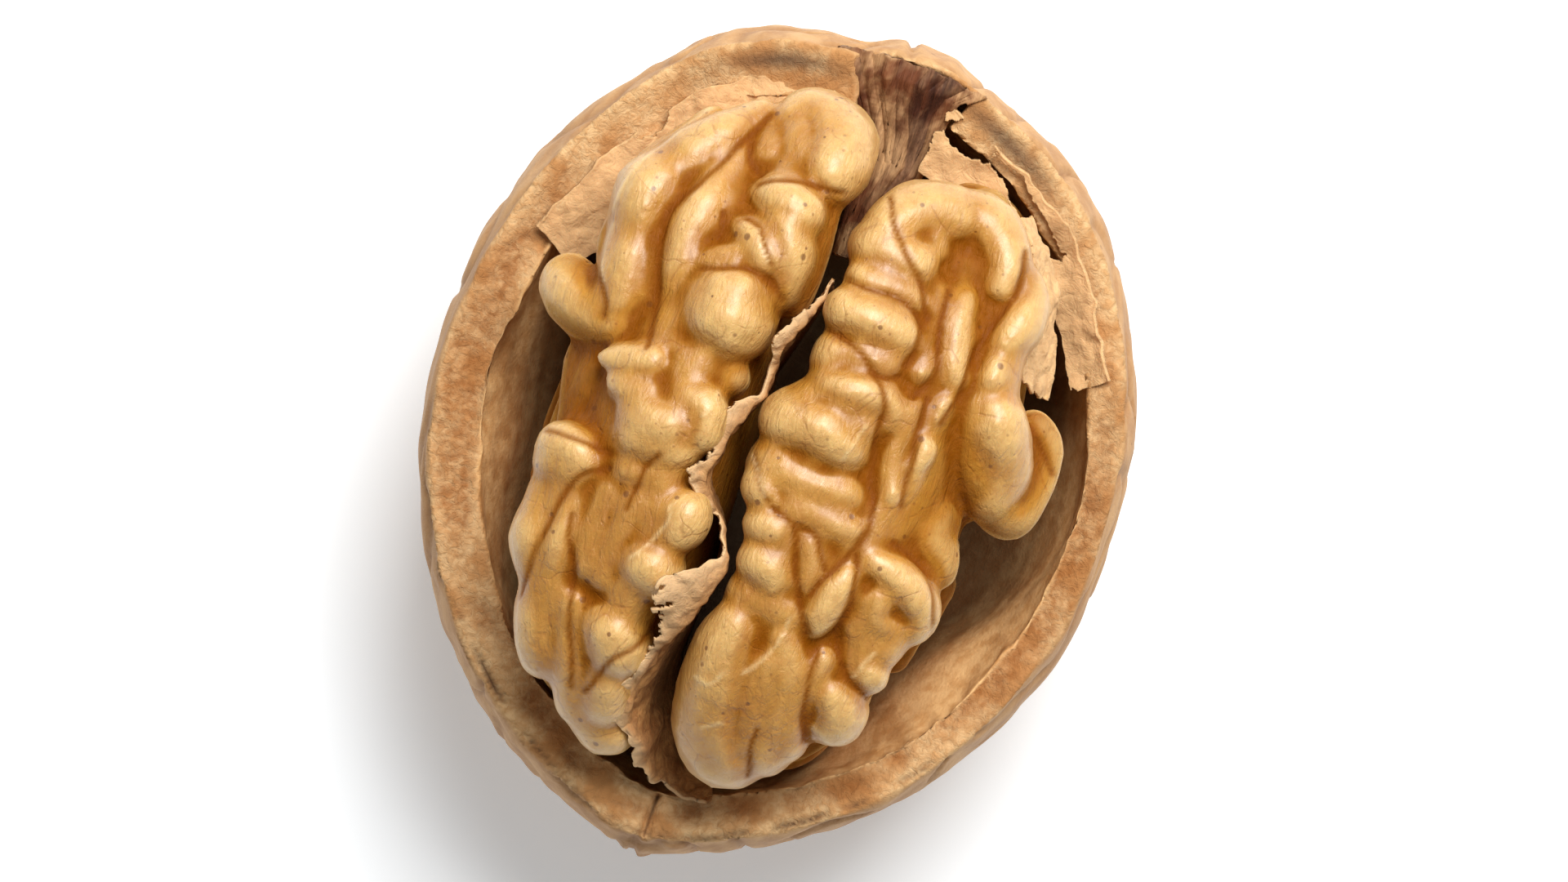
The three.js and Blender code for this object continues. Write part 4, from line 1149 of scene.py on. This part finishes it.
# %% The papery skin and the dark fibres
def papery_skin(name, pale, dark, stain, stain_share, torn_share):
    material, tree, shader, place = new_material(
        name, Specular_IOR_Level=0.25, Subsurface_Weight=0.15,
        Subsurface_Radius=(1.0, 0.6, 0.35), Subsurface_Scale=0.0004)
    torn = mask_of(tree, "torn_edge")
    crinkle = cloud(tree, place, 1.6, 5.0, 0.62, 1.0)
    tint = blend(tree, between(tree, crinkle, 0.32, 0.68), pale, dark)
    blots = effect(tree, BLOTCHES, place, Per_mm=0.4, Low=0.48, High=0.66)
    tint = cover(tree, tint, blots, stain_share, stain)
    tint = cover(tree, tint, torn, torn_share, colour(232, 194, 146))
    tree.links.new(tint, shader.inputs["Base Color"])
    shader.inputs["Roughness"].default_value = 0.82
    fibres = cloud(tree, place, 5.0, 3.0)
    relief(tree, shader, maths(tree, "MULTIPLY_ADD", fibres, 0.3, crinkle), 0.13)
    return material


def dark_fibre():
    material, tree, shader, place = new_material("dark_fibre", Specular_IOR_Level=0.3, Roughness=0.7)
    strands = cloud(tree, stretched(tree, place, (1.0, 0.1, 0.3)), 2.6, 5.0, 0.6, 0.2)
    tone = node(tree, "ShaderNodeValToRGB", Fac=mask_of(tree, "sideways"))
    stops = tone.color_ramp.elements
    for position, pale in STRAND_TONE:
        at_end = position in (0.0, 1.0)
        stop = stops[-round(position)] if at_end else stops.new(position)
        stop.color = (pale, pale, pale, 1)
    dark = blend(tree, tone.outputs["Color"], colour(104, 74, 54), colour(180, 134, 88))
    pale = blend(tree, tone.outputs["Color"], colour(156, 116, 84), colour(220, 174, 122))
    tint = blend(tree, between(tree, strands, 0.36, 0.62), dark, pale)
    smudges = effect(tree, BLOTCHES, place, Per_mm=0.35, Low=0.4, High=0.62)
    tint = blend(tree, smudges, tint, colour(150, 112, 96), "MULTIPLY")
    tree.links.new(tint, shader.inputs["Base Color"])
    relief(tree, shader, strands, 0.3)
    return material


def wear(piece, material):
    piece.data.materials.clear()
    piece.data.materials.append(material)


lining_paper = papery_skin(
    "papery_lining", pale=colour(230, 182, 126), dark=colour(202, 152, 98),
    stain=colour(168, 118, 68), stain_share=0.6, torn_share=0.3)
septum_paper = papery_skin(
    "papery_septum", pale=colour(196, 142, 84), dark=colour(154, 102, 54),
    stain=colour(124, 76, 36), stain_share=0.6, torn_share=0.8)
kernel_skin = seed_skin()
wear(kernel_left, kernel_skin)
wear(kernel_right, kernel_skin)
wear(shell, shell_wood())
wear(septum, septum_paper)
for scrap in (lining_left, lining_right, lining_flap):
    wear(scrap, lining_paper)
wear(stem_fibres, dark_fibre())
print("materials:", sorted(m.name for m in bpy.data.materials))

# %% [markdown]
# ## Tie the pieces to the plain solids
# Every piece stands for one plain solid and moves with it.

# %% What each piece stands for
STANDS_FOR = [
    (shell, "shell_half", "shell_wood"),
    (kernel_left, "kernel_left", "seed_skin"),
    (kernel_right, "kernel_right", "seed_skin"),
    (septum, "septum", "papery_skin"),
    (stem_fibres, "stem_fibres", "dark_fibre"),
    (lining_left, "lining_left", "papery_skin"),
    (lining_right, "lining_right", "papery_skin"),
    (lining_flap, "lining_flap", "papery_skin"),
]
for piece, solid, slot in STANDS_FOR:
    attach(piece, "root")
    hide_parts(solid)

# %% [markdown]
# ## Floor, light and camera
# The nut stands on a plain white floor under soft studio light. The one lamp hangs high over the stem
# end, so a soft shadow lies round the tip end. The floor glows a little, which keeps that shadow light
# and the floor white right up to the edges. The camera looks straight down.

# %% The floor
bpy.ops.mesh.primitive_plane_add(size=3.0, location=(0, 0, 0))
floor = bpy.context.object
floor.name = floor.data.name = "floor"
floor_material, _, floor_shader, _ = new_material("floor", Roughness=0.9, Specular_IOR_Level=0.1)
floor_shader.inputs["Base Color"].default_value = (0.9, 0.925, 0.94, 1)
floor_shader.inputs["Emission Color"].default_value = (0.95, 0.98, 1.0, 1)
floor_shader.inputs["Emission Strength"].default_value = 0.22
wear(floor, floor_material)

# %% The camera, turned so that the stem end leans to the right
LEAN = math.radians(19.4)
OFF_CENTRE = Vector((0.52, 0.22, 0)) * MM
CAMERA_ABOVE_RIM = 0.6
VIEW_WIDTH = 0.0768
SENSOR = 36.0
camera_data = bpy.data.cameras.new("camera")
camera = bpy.data.objects.new("camera", camera_data)
bpy.context.scene.collection.objects.link(camera)
camera_data.sensor_width = SENSOR
camera_data.lens = SENSOR * CAMERA_ABOVE_RIM / VIEW_WIDTH
camera_data.clip_start = 0.01
camera.rotation_euler = (0, 0, LEAN)
across_view = Vector((math.cos(LEAN), math.sin(LEAN), 0))
up_view = Vector((-math.sin(LEAN), math.cos(LEAN), 0))
camera.location = OFF_CENTRE.x * across_view + OFF_CENTRE.y * up_view
camera.location.z = RIM * MM + CAMERA_ABOVE_RIM
bpy.context.scene.camera = camera


# %% The lights
def area_light(name, watts, size, across, up, height):
    data = bpy.data.lights.new(name, "AREA")
    data.energy, data.size = watts, size
    lamp = bpy.data.objects.new(name, data)
    bpy.context.scene.collection.objects.link(lamp)
    lamp.location = across * across_view + up * up_view + Vector((0, 0, height))
    lamp.rotation_euler = (-lamp.location).to_track_quat("-Z", "Y").to_euler()


area_light("key", watts=3.8, size=0.3, across=0.13, up=0.26, height=0.44)
world = bpy.data.worlds.new("studio")
bpy.context.scene.world = world
world.use_nodes = True
world.node_tree.nodes["Background"].inputs["Color"].default_value = (1, 1, 1, 1)
world.node_tree.nodes["Background"].inputs["Strength"].default_value = 0.28
bpy.context.scene.view_settings.view_transform = "Standard"

# %% [markdown]

# %% Finish
import json
